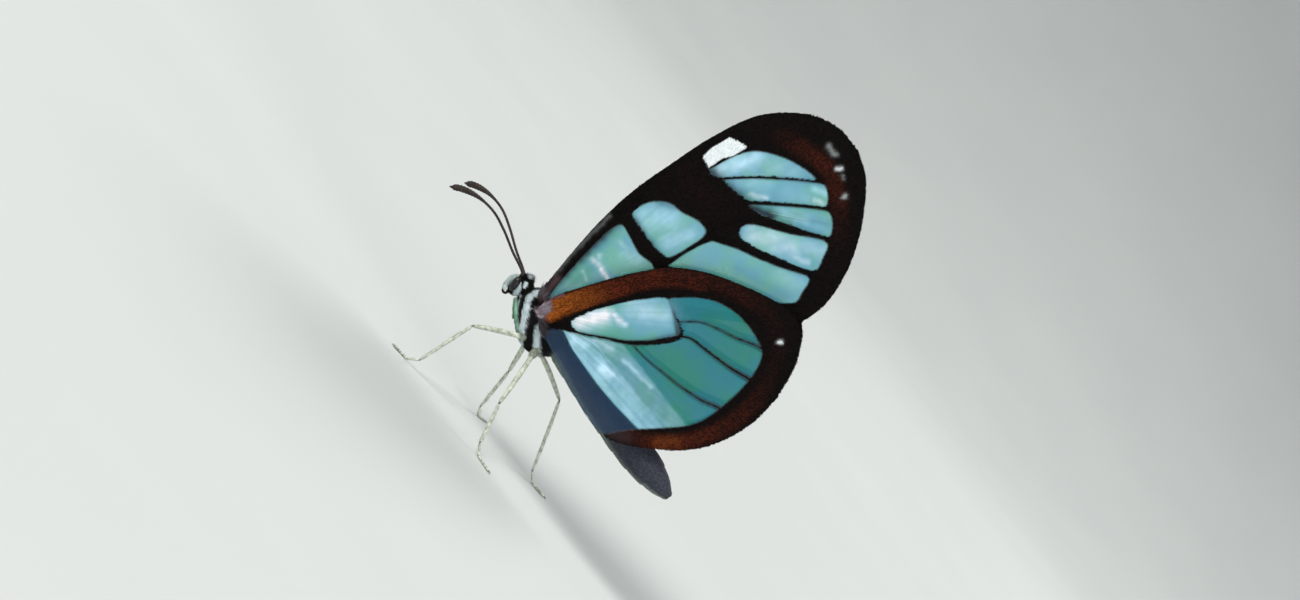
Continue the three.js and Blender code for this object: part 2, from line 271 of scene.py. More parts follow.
def scale_mesh(roots, lie, outward, length, width, lift):
    """Flat closed scales, wider at the tip, each hung from its root and lifted by an angle."""
    ahead = along_surface(lie, outward)
    length, width, lift = (np.broadcast_to(v, len(roots))[:, None] for v in (length, width, lift))
    across = np.cross(outward, ahead) * width
    run = (np.cos(lift) * ahead + np.sin(lift) * outward) * length
    corners = [
        roots - across * 0.28,
        roots + across * 0.28,
        roots + run + across * 0.5,
        roots + run - across * 0.5,
        roots + run * 0.55 - outward * 0.012,
    ]
    return many_forms(corners, [(0, 1, 2, 3), (1, 0, 4), (2, 1, 4), (3, 2, 4), (0, 3, 4)])


def tuft_mesh(roots, lie, outward, length, width, lift, bend):
    """Thin curved three-sided hairs."""
    ahead = along_surface(lie, outward)
    across = np.cross(outward, ahead)
    sizes = (length, width / 2, lift, bend)
    length, half, lift, bend = (np.broadcast_to(v, len(roots))[:, None] for v in sizes)
    rise = np.sin(lift) * outward + np.cos(lift) * ahead
    base = roots - outward * half * 1.2
    middle = roots + rise * (length * 0.5)
    corners = []
    for centre, thick in ((base, half), (middle, half * 0.8)):
        corners += [centre - across * thick, centre + across * thick, centre + outward * thick * 0.5]
    corners.append(roots + (rise + ahead * bend - outward * (bend * 0.35)) * length)
    pattern = [(0, 1, 4, 3), (1, 2, 5, 4), (2, 0, 3, 5), (3, 4, 6), (4, 5, 6), (5, 3, 6), (2, 1, 0)]
    return many_forms(corners, pattern)


# Materials

# Each colour runs between two tones, as sRGB of 0 to 255
TONES = {
    "wing black": ((5, 4, 4), (17, 11, 10)),
    "wing rust": ((48, 17, 9), (88, 36, 18)),
    "wing orange": ((118, 58, 14), (160, 88, 32)),
    "wing white": ((214, 222, 224), (246, 250, 250)),
    # The clear membrane itself is nearly colourless: these blue-green tints are a bluish painted reflection
    # of the sky over the green of leaves seen through the wing
    "light glass with painted reflection": ((112, 182, 204), (114, 192, 178)),
    "deep glass with painted reflection": ((8, 124, 138), (8, 130, 114)),
    # Colour of the painted sheen and glints on the clear membrane, from bluish to pink
    "painted sheen and milk": ((184, 228, 250), (250, 242, 246)),
    "skin dark": ((6, 6, 7), (20, 18, 19)),
    "skin slate": ((38, 42, 54), (60, 60, 68)),
    "skin light": ((186, 210, 218), (230, 244, 248)),
    # The abdomen's pale underside, darkened to mid grey as painted shade
    "skin belly in painted shade": ((84, 96, 88), (126, 140, 130)),
    "hair dark": ((5, 5, 6), (22, 20, 20)),
    "hair slate": ((44, 48, 60), (72, 72, 80)),
    "hair light": ((206, 230, 238), (252, 255, 255)),
    "hair dusky": ((130, 112, 122), (206, 192, 204)),
    # The abdomen's pale underside, darkened to mid grey as painted shade
    "hair belly in painted shade": ((84, 96, 88), (138, 152, 142)),
    "eye": ((6, 6, 7), (26, 20, 19)),
    "leg": ((138, 144, 128), (214, 220, 202)),
    # Pale scales, tinted mint green by painted green reflected light
    "foreleg": ((78, 112, 94), (146, 196, 168)),
    "palp": ((158, 178, 176), (240, 252, 250)),
    "feeler": ((15, 11, 10), (52, 38, 30)),
    "paper": ((186, 189, 187), (195, 197, 194)),
}
# White of the white spots, and of a faint painted sheen line along the fore wing's costa
FROST_AND_SHEEN = (242, 248, 248)
DUSKY = (132, 104, 108)
# A painted bluish reflection laid over the dark abdomen seen through the hind wing's fold
FOLD_REFLECTION = (34, 62, 92)
SMOKE = (10, 26, 44)
JOINT = (26, 21, 19)


def linear(tone):
    """An sRGB tone as linear light."""
    share = np.array(tone) / 255
    light = np.where(share <= 0.04045, share / 12.92, ((share + 0.055) / 1.055) ** 2.4)
    return (*light.tolist(), 1.0)


class Shader:
    """A material's nodes, with one short call for each kind that is used here."""

    def __init__(self, name, specular=0.5):
        self.material = bpy.data.materials.new(name)
        self.material.use_nodes = True
        self.tree = self.material.node_tree
        self.surface = self.tree.nodes["Principled BSDF"]
        self.surface.inputs["Specular IOR Level"].default_value = specular
        self.place = self.node("TexCoord").outputs["Object"]

    def node(self, kind, *values, **settings):
        """A node with its first inputs given, as numbers, colours or links."""
        node = self.tree.nodes.new("ShaderNode" + kind)
        for key, value in settings.items():
            setattr(node, key, value)
        for socket, value in zip(node.inputs, values):
            self.put(socket, value)
        return node

    def put(self, socket, value):
        if isinstance(value, bpy.types.NodeSocket):
            self.tree.links.new(value, socket)
        else:
            socket.default_value = value

    def set(self, **values):
        for key, value in values.items():
            self.put(self.surface.inputs[key.replace("_", " ")], value)

    def attribute(self, name):
        return self.node("Attribute", attribute_name=name).outputs["Fac"]

    def mix(self, share, first, second):
        node = self.node("Mix", data_type="RGBA")
        for index, value in ((0, share), (6, first), (7, second)):
            self.put(node.inputs[index], value)
        return node.outputs[2]

    def tone(self, name, share):
        return self.mix(share, *map(linear, TONES[name]))

    def stain(self, colour, attribute, tint):
        """The colour, turned to a tint by the share that an attribute gives."""
        return self.mix(self.attribute(attribute), colour, tint)

    def maths(self, operation, first, second):
        return self.node("Math", first, second, operation=operation).outputs[0]

    def span(self, value, low, high, to_low=0.0, to_high=1.0):
        node = self.node("MapRange", value, low, high, to_low, to_high, interpolation_type="SMOOTHSTEP")
        return node.outputs[0]

    def texture(self, kind, size):
        node = self.node(kind, self.place)
        node.inputs["Scale"].default_value = 1 / (size * MM)
        return node

    def noise(self, size, detail=3.0):
        node = self.texture("TexNoise", size)
        node.inputs["Detail"].default_value = detail
        return node.outputs["Fac"]

    def cells(self, size):
        return self.texture("TexVoronoi", size).outputs["Distance"]

    def bump(self, height, depth, strength):
        node = self.node("Bump")
        node.inputs["Strength"].default_value = strength
        node.inputs["Distance"].default_value = depth * MM
        self.put(node.inputs["Height"], height)
        self.put(self.surface.inputs["Normal"], node.outputs[0])


def wing_colours(shader, grain):
    """The colour of the scales on a wing, from black through rust to orange."""
    uneven = shader.span(shader.noise(1.6), 0.25, 0.75, 0.6, 1.15)
    fine = shader.span(grain, 0.2, 0.8)
    rust = shader.maths("MINIMUM", shader.maths("MULTIPLY", shader.attribute("rust"), uneven), 1.0)
    coat = shader.mix(rust, shader.tone("wing black", fine), shader.tone("wing rust", fine))
    coat = shader.stain(coat, "ochre", shader.tone("wing orange", fine))
    return shader.stain(coat, "dusky", linear(DUSKY))


def membrane_material(name, gloss):
    """Clear membrane in the windows, and the ground colour under the scales elsewhere."""
    shader = Shader(name, gloss)
    grain = shader.noise(0.09, 2.0)
    edge_noise = shader.maths("MULTIPLY", shader.maths("SUBTRACT", grain, 0.5), 0.2)
    window = shader.maths("ADD", shader.attribute("window"), edge_noise)
    clear = shader.span(window, -0.05, 0.14)
    white = shader.span(shader.maths("ADD", shader.attribute("white"), edge_noise), -0.1, 0.12)
    # White spots, and a faint painted sheen line along the costa
    white = shader.maths("MAXIMUM", white, shader.attribute("frost_and_sheen"))
    coat = shader.mix(white, wing_colours(shader, grain), linear(FROST_AND_SHEEN))

    # Painted sheen and glints lighten the clear membrane's colour and make it less clear
    mottled = shader.span(shader.noise(1.1, 4.0), 0.3, 0.7, 0.78, 1.12)
    pale = shader.maths("MINIMUM", shader.maths("MULTIPLY", shader.attribute("pale"), mottled), 1.0)
    # The membrane's tint: bluish painted reflection and the green of leaves behind, mixed unevenly
    tint = shader.span(shader.noise(2.4, 2.0), 0.36, 0.64)
    glassy = shader.stain(shader.tone("light glass with painted reflection", tint), "deep", shader.tone("deep glass with painted reflection", tint))
    glassy = shader.mix(pale, glassy, shader.tone("painted sheen and milk", shader.attribute("sheen_pink")))
    # A painted bluish reflection over the clear fold
    glassy = shader.stain(glassy, "fold", linear(FOLD_REFLECTION))
    glassy = shader.stain(glassy, "smoke", linear(SMOKE))
    shader.set(Base_Color=shader.mix(clear, coat, glassy))

    alpha = shader.maths("ADD", shader.attribute("film"), shader.maths("MULTIPLY", pale, 0.25))
    alpha = shader.maths("ADD", alpha, shader.maths("MULTIPLY", shader.attribute("smoke"), 0.6))
    solid = shader.maths("SUBTRACT", 1.0, clear)
    shader.set(Alpha=shader.maths("MAXIMUM", shader.maths("MINIMUM", alpha, 1.0), solid))
    shader.set(Roughness=shader.span(clear, 0.0, 1.0, 0.66, 0.24), IOR=1.5)
    ripple = shader.maths("ADD", shader.noise(0.45, 2.0), shader.maths("MULTIPLY", grain, solid))
    shader.bump(ripple, 0.02, 0.6)
    return shader.material


def scale_material():
    """Single wing scales, each ribbed along its length and of its own shade."""
    shader = Shader("wing_scales", 0.06)
    own = shader.attribute("shade")
    coat = shader.stain(wing_colours(shader, own), "white", shader.tone("wing white", own))
    ribs = shader.noise(0.03, 2.0)
    shader.set(Base_Color=coat, Roughness=shader.span(ribs, 0.2, 0.8, 0.5, 0.72))
    shader.bump(ribs, 0.008, 0.7)
    return shader.material


def skin_material():
    """Dark cuticle under the scales of the body, with pale markings."""
    shader = Shader("body_cuticle", 0.15)
    grain = shader.cells(0.09)
    cloud = shader.noise(0.7)
    base = shader.stain(shader.tone("skin dark", cloud), "slate", shader.tone("skin slate", cloud))
    # The pale underside of the abdomen, darkened as painted shade
    base = shader.stain(base, "belly", shader.tone("skin belly in painted shade", cloud))
    mark = shader.span(shader.attribute("mark"), 0.35, 0.65)
    shader.set(Base_Color=shader.mix(mark, base, shader.tone("skin light", cloud)))
    shader.set(Roughness=shader.span(grain, 0.0, 0.6, 0.5, 0.74))
    shader.bump(shader.maths("ADD", grain, shader.noise(0.04)), 0.03, 0.8)
    return shader.material


def hair_material():
    """Scale hairs, each of its own shade, with the body's markings."""
    shader = Shader("scale_hair", 0.12)
    own = shader.attribute("shade")
    colour = shader.stain(shader.tone("hair dark", own), "slate", shader.tone("hair slate", own))
    # The pale underside of the abdomen, darkened as painted shade
    colour = shader.stain(colour, "belly", shader.tone("hair belly in painted shade", own))
    mark = shader.span(shader.attribute("mark"), 0.35, 0.6)
    colour = shader.mix(mark, colour, shader.tone("hair light", own))
    colour = shader.stain(colour, "dusky", shader.tone("hair dusky", own))
    streak = shader.noise(0.05, 2.0)
    shader.set(Base_Color=colour, Roughness=shader.span(streak, 0.2, 0.8, 0.5, 0.75))
    shader.set(Sheen_Weight=0.03, Sheen_Roughness=0.4)
    shader.bump(streak, 0.008, 0.6)
    return shader.material


def eye_material():
    """A dark compound eye."""
    shader = Shader("eye_facets", 0.3)
    facets = shader.cells(0.045)
    shader.set(Base_Color=shader.tone("eye", shader.span(shader.noise(0.5), 0.3, 0.7)))
    shader.set(Roughness=shader.span(facets, 0.0, 0.7, 0.14, 0.32))
    shader.set(Coat_Weight=0.2, Coat_Roughness=0.08)
    shader.bump(shader.maths("MULTIPLY", facets, -1.0), 0.008, 0.8)
    return shader.material


def cuticle_material(name, tone):
    """Thin limbs: scaled cuticle, darker at its joints."""
    shader = Shader(name, 0.35)
    fine = shader.cells(0.035)
    cloud = shader.maths("MULTIPLY", shader.noise(0.35), 0.8)
    uneven = shader.maths("ADD", cloud, shader.maths("MULTIPLY", fine, 0.2))
    mixed = shader.tone(tone, shader.span(uneven, 0.25, 0.7))
    shader.set(Base_Color=shader.stain(mixed, "joint", linear(JOINT)))
    shader.set(Roughness=shader.span(fine, 0.0, 0.7, 0.42, 0.66))
    shader.bump(shader.maths("ADD", fine, shader.noise(0.03)), 0.015, 0.8)
    return shader.material


# Camera

LENS = 85.0
SENSOR = 36.0
PHOTO_WIDTH = 1300
PIXEL = 0.0813  # of the photo, at the animal
ROLL = math.radians(52)  # the photo shows the animal head-up
RAISED = math.radians(7)
PHOTO_CENTRE = (3.07, -1.0, 10.9)  # the place seen at the middle of the photo


def make_camera():
    """Looks from the animal's left, a little from above, with the photo's tilt and framing."""
    ahead = Vector((0, math.cos(RAISED), -math.sin(RAISED)))
    level = Vector((1, 0, 0))
    upright = Vector((0, math.sin(RAISED), math.cos(RAISED)))
    right = math.cos(ROLL) * level + math.sin(ROLL) * upright
    up = -math.sin(ROLL) * level + math.cos(ROLL) * upright
    distance = PIXEL * PHOTO_WIDTH / (SENSOR / LENS)
    data = bpy.data.cameras.new("camera")
    data.lens = LENS
    data.sensor_width = SENSOR
    data.clip_start = 0.005
    data.clip_end = 10
    camera = bpy.data.objects.new("camera", data)
    bpy.context.collection.objects.link(camera)
    turn = Matrix((right, up, -ahead)).transposed().to_4x4()
    centre = Vector(to_frame(PHOTO_CENTRE))
    camera.matrix_world = Matrix.Translation(centre - ahead * distance * MM) @ turn
    bpy.context.scene.camera = camera


# Wings

FOREWING = {
    "leading": [(-2.9, 3.9), (-3.65, 7.2), (-4.5, 11.8), (-4.75, 15.5), (-4.55, 19.2), (-4.25, 22.8),
        (-3.35, 26.8), (-1.9, 29.1), (-0.3, 30.6), (1.7, 31.45), (3.8, 31.5)],
    "trailing": [(-1.8, 3.7), (1.2, 7.3), (5.0, 11.6), (8.6, 15.3), (11.2, 17.7), (11.95, 19.7),
        (11.95, 21.9), (11.1, 24.5), (9.6, 27.0), (7.95, 28.9), (5.9, 30.65), (3.8, 31.5)],
    # Joints of the root: back, out from the mid plane (none where it lies in the wing), up, and radius
    "root": [(-2.1, 0.55, 3.3, 0.34), (-2.35, None, 3.95, 0.34), (-2.75, None, 5.4, 0.24),
        (-3.2, None, 7.6, 0.1)],
    "offset": 0.52,
    "flare": 0.0,
    # Outlines of the clear windows
    "windows": [
        [(-2.15, 4.3), (-3.1, 8.6), (-3.4, 12.4), (-3.1, 12.85), (-1.7, 12.7), (-0.5, 12.5), (0.9, 12.8),
         (1.45, 12.5), (-0.1, 8.1)],
        [(-3.3, 13.95), (-3.45, 14.9), (-3.1, 16.0), (-2.15, 17.0), (-0.95, 17.35), (0.65, 18.0),
         (1.6, 17.8), (1.4, 14.4), (1.15, 14.0), (-0.25, 13.7), (-1.9, 13.75)],
        [(-2.4, 21.2), (-2.2, 22.4), (-1.6, 24.4), (-0.8, 25.5), (1.5, 27.0), (3.7, 27.5), (1.1, 24.3),
         (-1.3, 21.3), (-1.8, 21.0)],
        [(-1.3, 21.5), (0.9, 24.1), (3.85, 27.4), (4.5, 27.8), (5.9, 26.8), (3.1, 23.7), (1.7, 22.1),
         (-0.6, 21.5)],
        [(1.9, 21.9), (3.3, 23.7), (6.4, 26.75), (8.0, 25.6), (7.4, 24.85), (5.2, 23.5), (3.0, 22.1)],
        [(2.95, 20.2), (3.15, 21.0), (5.75, 23.1), (8.3, 25.1), (9.0, 24.1), (9.45, 22.95), (6.6, 21.05),
         (4.45, 20.0), (3.4, 19.75)],
        [(1.75, 14.2), (2.25, 17.5), (2.8, 18.25), (6.1, 20.05), (9.6, 22.2), (10.2, 21.0), (10.5, 20.1),
         (9.6, 18.9), (5.4, 15.6), (2.0, 12.9)],
        [(-0.2, 6.9), (1.3, 10.6), (2.3, 12.6), (6.2, 14.9), (9.1, 17.1), (9.3, 16.6), (5.0, 12.5),
         (0.9, 7.8)],
    ],
    "white": [(-3.45, 21.35), (-3.53, 22.4), (-3.31, 23.95), (-2.9, 24.22), (-1.96, 24.62), (-1.81, 24.5),
        (-2.02, 23.32), (-2.37, 22.45), (-2.44, 21.15)],
    # Soft white spots and streaks, and along the costa a faint painted sheen line: from, to, reach and share
    "frost_and_sheen": [(2.2, 29.87, 3.0, 29.83, 0.22, 0.26), (3.98, 29.25, 4.18, 29.55, 0.16, 0.75),
        (4.7, 29.3, 5.0, 29.2, 0.15, 0.14), (6.13, 28.3, 6.16, 28.45, 0.17, 0.42),
        # These two: a faint painted sheen line along the costa
        (-3.3, 5.9, -3.9, 9.0, 0.2, 0.08), (-3.9, 9.0, -4.3, 12.4, 0.18, 0.1)],
    # Veins: half width of the dark scales at both ends, share of the haze beside them, and the path
    "veins": [
        (0.3, 0.26, 0.0, (-2.6, 4.2), (-3.3, 8), (-4.0, 13), (-4.25, 18), (-3.9, 23)),
        (0.1, 0.06, 0.0, (-2.5, 4.3), (-3.4, 9), (-3.85, 14), (-3.4, 18.5), (-2.4, 21.3), (-2.15, 22.8),
         (-1.72, 24.5), (-0.9, 26.4), (0.9, 29.6)),
        (0.05, 0.13, 0.25, (-2.0, 4.0), (-0.1, 8.3), (1.3, 12.3), (1.57, 14.2), (1.95, 17.8)),
        (0.2, 0.15, 0.0, (1.9, 17.8), (0.6, 19.8), (-2.6, 20.2)),
        (0.05, 0.04, 0.6, (-1.7, 20.7), (0.85, 24.2), (4.1, 27.7), (6.2, 29.7)),
        (0.13, 0.07, 0.45, (0.4, 19.9), (1.7, 21.9), (3.2, 23.7), (6.1, 26.7), (8.2, 28.1)),
        (0.18, 0.1, 0.5, (1.6, 18.5), (2.5, 20.7), (3.15, 21.9), (5.4, 23.35), (8.0, 25.25), (9.9, 26.3)),
        (0.24, 0.14, 0.45, (1.9, 17.8), (4.8, 19.7), (7.0, 20.8), (9.5, 22.45), (11.4, 23.4)),
        (0.12, 0.12, 0.3, (1.5, 13.4), (5.8, 15.7), (9.3, 17.7), (11.3, 19.0)),
        (0.0, 0.0, 0.3, (3.4, 22.8), (5.24, 24.41), (7.06, 26.12), (8.2, 27.1)),
        (0.08, 0.2, 0.0, (-2.0, 4.1), (4.2, 11.4), (10.6, 17.8)),
    ],
    # Where the border turns rust, how wide that is, and its share at steps along it
    "rust": {
        "path": [(-1.8, 26.9), (0.6, 27.9), (3.3, 28.7), (5.4, 28.2), (7.5, 26.9), (9.4, 25.0),
            (10.7, 22.6)],
        "half": 0.85,
        "shares": [0.0, 0.34, 0.52, 0.42, 0.1, 0.02, 0.0],
    },
    "maroon": [(-2.6, 19.2, 0.4, 19.8, 1.0, 0.06)],
    "dusky": [(-2.45, 4.0, -2.8, 5.8, 0.4, 0.3)],
    "film": 0.5,
    "deep": 0.1,
    # Painted sheen and glints, with a little of the membrane's own milkiness: from, to, reach, share, and how
    # pink
    "pale": [(-2.45, 9.25, -1.3, 9.35, 0.3, 0.5, 0.9), (-1.3, 9.3, -0.4, 9.25, 0.22, 0.85, 0.9),
        (-2.3, 9.9, -2.1, 9.7, 0.22, 0.4, 0.7), (-2.1, 7.95, -1.4, 7.85, 0.16, 0.45, 0.4),
        (-1.9, 6.2, -1.2, 7.0, 0.5, 0.25, 0.0), (-1.0, 11.5, -0.2, 12.2, 0.7, 0.34, 0.2),
        (-2.1, 11.9, -1.5, 11.9, 0.25, 0.3, 0.3), (-2.3, 14.8, -1.0, 16.4, 1.1, 0.6, 0.0),
        (0.2, 15.0, 0.8, 16.6, 0.9, 0.45, 0.1), (-1.9, 21.9, -0.7, 24.7, 0.85, 0.8, 0.1),
        (-0.6, 24.6, 1.9, 26.4, 0.9, 0.35, 0.1), (-0.2, 22.6, 1.2, 24.0, 0.9, 0.35, 0.0),
        (1.3, 22.6, 2.4, 23.5, 0.24, 0.6, 0.5), (4.9, 26.4, 5.6, 26.8, 0.26, 0.65, 0.5),
        (4.2, 26.9, 5.0, 27.4, 0.34, 0.6, 0.0), (3.2, 25.0, 4.4, 26.0, 0.7, 0.25, 0.0),
        (4.0, 23.7, 5.6, 24.9, 0.55, 0.4, 0.0), (5.9, 25.1, 7.4, 26.0, 0.5, 0.14, 0.0),
        (7.6, 22.3, 8.5, 22.9, 0.3, 0.6, 0.5), (4.0, 20.8, 6.9, 22.7, 1.0, 0.6, 0.4),
        (8.0, 20.6, 9.4, 21.2, 0.7, 0.25, 0.2), (6.9, 23.0, 8.5, 24.3, 0.7, 0.45, 0.3)],
    # Dark haze over a window: from, to, reach and share
    "smoke": [(-2.65, 4.8, -3.6, 12.4, 0.55, 0.95), (-1.95, 5.0, -2.1, 8.8, 0.5, 0.25),
        (-3.2, 13.85, 1.0, 13.6, 0.38, 0.85), (-2.9, 16.3, -0.9, 17.5, 0.26, 0.5),
        (-2.3, 21.1, 1.7, 21.8, 0.7, 0.95), (1.9, 21.8, 3.9, 22.9, 0.6, 1.0),
        (3.9, 22.9, 5.2, 23.7, 0.36, 0.6), (5.2, 23.7, 8.0, 25.2, 0.26, 0.35),
        (4.4, 24.3, 7.7, 26.2, 0.2, 0.25), (3.0, 19.9, 3.4, 19.4, 0.45, 0.7),
        (5.5, 18.0, 9.4, 19.6, 0.5, 0.15)],
    # How far the haze beside a vein reaches
    "haze": 0.26,
}
HINDWING = {
    "leading": [(-1.9, 3.6), (-1.95, 4.9), (-0.7, 8.4), (0.85, 11.9), (2.2, 14.1), (4.2, 16.0),
        (6.3, 17.35), (9.0, 18.75), (11.0, 19.35), (12.3, 19.15), (13.4, 18.2), (14.6, 16.6), (15.5, 14.4)],
    "trailing": [(-0.5, 2.5), (2.2, 2.0), (5.2, 1.35), (8.4, 1.05), (10.2, 1.65), (12.6, 3.7), (14.2, 5.5),
        (15.3, 7.6), (15.8, 9.7), (15.9, 11.8), (15.5, 14.4)],
    "root": [(-0.75, 0.8, 2.9, 0.34), (-0.85, None, 3.5, 0.34), (-0.6, None, 5.0, 0.22),
        (-0.2, None, 6.6, 0.1)],
    "offset": 1.56,
    "flare": 0.45,
    "windows": [
        [(0.5, 4.75), (0.68, 6.3), (1.5, 8.4), (2.5, 10.35), (3.9, 12.2), (5.2, 11.8), (6.75, 11.1),
         (4.9, 7.9), (3.2, 6.1), (1.7, 4.8)],
        [(-0.5, 2.4), (0.1, 3.5), (1.4, 4.6), (3.2, 6.1), (5.2, 7.8), (6.95, 11.2), (3.95, 12.2),
         (4.4, 13.0), (5.1, 13.95), (6.4, 15.1), (8.0, 15.8), (9.6, 16.0), (11.1, 15.85), (12.05, 15.5),
         (12.7, 14.6), (13.2, 13.0), (13.45, 11.2), (13.45, 8.6), (12.95, 6.95), (12.1, 5.6), (11.2, 4.3),
         (10.2, 2.9), (9.2, 1.1), (8.4, 0.8), (5.2, 1.1), (2.2, 1.7)],
    ],
    "white": [],
    "frost_and_sheen": [(12.05, 17.0, 12.2, 17.22, 0.15, 1.0)],
    "veins": [
        (0.15, 0.15, 0.0, (-1.3, 3.6), (-0.9, 6.2), (1.1, 11.0), (4.2, 14.6), (8.8, 17.3), (12.2, 17.9)),
        (0.12, 0.12, 0.0, (-0.9, 3.5), (0.1, 5.9), (1.0, 8.6), (2.1, 10.9), (3.3, 12.7), (4.9, 14.7),
         (6.5, 15.9), (8.2, 16.6), (12.6, 17.1)),
        (0.0, 0.0, 0.95, (4.0, 12.25), (4.84, 11.96), (5.99, 11.44), (6.82, 11.02)),
        (0.03, 0.05, 0.6, (-0.7, 3.4), (1.6, 4.8), (3.2, 6.2), (5.25, 8.1), (5.95, 9.38), (6.82, 11.02)),
        (0.0, 0.03, 0.85, (5.8, 11.6), (7.0, 13.1), (8.36, 13.92), (9.83, 14.62), (11.5, 15.6),
         (13.8, 16.2)),
        (0.03, 0.07, 0.95, (6.82, 11.02), (7.52, 11.63), (9.28, 12.11), (11.45, 12.73), (13.2, 13.4),
         (15.0, 13.8)),
        (0.0, 0.03, 0.92, (5.1, 7.6), (6.7, 7.77), (8.39, 8.16), (9.9, 8.52), (11.98, 9.22), (13.5, 10.0),
         (15.4, 10.4)),
        (0.0, 0.0, 0.15, (1.8, 4.7), (3.25, 5.18), (6.75, 5.11), (9.78, 5.59), (12.15, 6.23), (14.3, 6.9)),
        (0.0, 0.0, 0.0, (-0.5, 3.2), (2.0, 3.72), (7.0, 3.42), (11.2, 3.8)),
    ],
    "rust": {
        "path": [(10.4, 2.5), (12.3, 4.05), (13.6, 5.7), (14.4, 7.6), (14.85, 9.9), (14.7, 12.5),
            (13.8, 14.8), (12.2, 16.9), (9.4, 17.7), (6.4, 16.5), (4.0, 14.9), (1.9, 12.5), (0.1, 8.6),
            (-1.0, 5.6)],
        "half": 0.78,
        "shares": [0.1, 0.95, 0.75, 0.5, 0.32, 0.1, 0.06, 0.12, 0.3, 0.3, 0.7, 0.75, 0.9, 1.0],
    },
    "maroon": [],
    "dusky": [(-1.95, 4.7, -1.6, 5.6, 0.14, 0.4), (9.6, 1.9, 10.5, 2.5, 0.6, 0.1)],
    "film": 0.58,
    "deep": 0.95,
    # Painted sheen and glints, with a little of the membrane's own milkiness: from, to, reach, share, and how
    # pink
    "pale": [(0.9, 5.4, 1.8, 7.3, 0.85, 1.0, 0.9), (2.3, 7.9, 2.9, 8.0, 0.35, 0.9, 0.8),
        (3.1, 8.0, 3.4, 8.25, 0.26, 0.85, 0.5), (2.6, 9.4, 4.6, 11.0, 1.1, 0.55, 0.25),
        (1.5, 4.2, 2.5, 4.5, 0.45, 0.4, 0.1), (5.1, 4.5, 5.8, 4.6, 0.42, 0.5, 0.2),
        (5.6, 6.26, 8.7, 6.64, 0.17, 0.4, 0.1), (3.0, 5.6, 4.2, 6.0, 0.34, 0.26, 0.2)],
    "smoke": [],
    "haze": 0.42,
}
CELL = 0  # the first hindwing window is its discal cell, which is lighter than the rest
CELL_DEEP = 0.25
FOLD = np.array([(-1.0, 4.2), (1.0, 3.85), (2.4, 3.56), (5.8, 3.37), (8.0, 3.44), (11.0, 3.75)])
FOLD_FILM = 0.34  # below its fold the hind wing is clear and shows the abdomen, under a painted slate-blue reflection
PANELS = [(5.36, 0.24), (7.0, 0.3)]  # above the fold it carries painted sheen up to these heights, by these shares
PANEL_BLUR = 0.13
BAR_PATH = [
    (-1.2, 4.1), (-0.94, 5.05), (-0.44, 6.54), (0.15, 8.15), (0.8, 9.72), (1.45, 11.3), (2.27, 12.7),
    (3.3, 13.96), (4.5, 15.1),
]
BAR_HALF = (0.5, 0.95)  # the orange bar is full to the first of these from its path, and ends at the second
BAR_START = (-1.5, 3.75)  # it begins here, square to the wing's length
BAR_AHEAD = (0.62, 0.78)
CORNER_GLOW = (12.4, 4.3, 13.3, 5.5, 0.45, 0.2)
ROOT_PLACE = np.array([-1.6, 3.6])
ROOT_SPREAD = 0.7
ROOT_REACH = 10.0
MEMBRANE = 0.05
PLEAT = 0.07  # how far the membrane bows between the veins
PLEAT_REACH = 0.7
VEIN_RADIUS = (0.11, 0.045)  # at the root and at the border, for a vein of middling width
VEIN_SIDES = 8
ROOT_SIDES = 16
BARE_VEIN = 0.03  # a vein no wider than this has no scales
BLOB_RIPPLE = 0.035
WING_ROWS = 210
WING_COLUMNS = 110
FAR = 9.0  # stands for a distance where there is nothing to measure to


def wing_offset(form, points):
    """How far a wing's mid surface stands from the animal's mid plane, as in the solids."""
    from_root = np.linalg.norm(points - ROOT_PLACE, axis=1)
    spread = ROOT_SPREAD * (1 - smoothstep(from_root, 0, ROOT_REACH))
    low = 1 - smoothstep(points[:, 1], 2.4, 5.2)
    aft = smoothstep(points[:, 0], 0.5, 4)
    return form["offset"] + spread + form["flare"] * low * aft


def vein_paths(form):
    """Each vein's path, its dark half width and its tube's radius along that, and its share of haze."""
    for start, end, haze, *points in form["veins"]:
        path = evenly(points, 60)
        half = np.linspace(start, end, len(path))
        yield path, half, np.linspace(*VEIN_RADIUS, len(path)) * (0.55 + 1.8 * half), haze


def wing_outline(form):
    return np.vstack([evenly(form["leading"], 200), evenly(form["trailing"], 200)[::-1]])


def blobs(points, patches):
    """The strongest of some soft, uneven patches at each point. Each is from, to, reach and share."""
    value = np.zeros(len(points))
    x, y = points.T
    ripple_x = np.sin(7.3 * y - 2.1 * x) + np.sin(3.1 * y + 1.3 * x)
    ripple_y = np.sin(6.1 * x + 3.7 * y) + np.sin(2.7 * x - y)
    moved = points + BLOB_RIPPLE * np.stack([ripple_x, ripple_y], axis=1)
    for *ends, reach, share in patches:
        gap, _ = path_distance(moved, np.reshape(ends, (2, 2)))
        value = np.maximum(value, share * np.exp(-(gap / reach) ** 2))
    return value


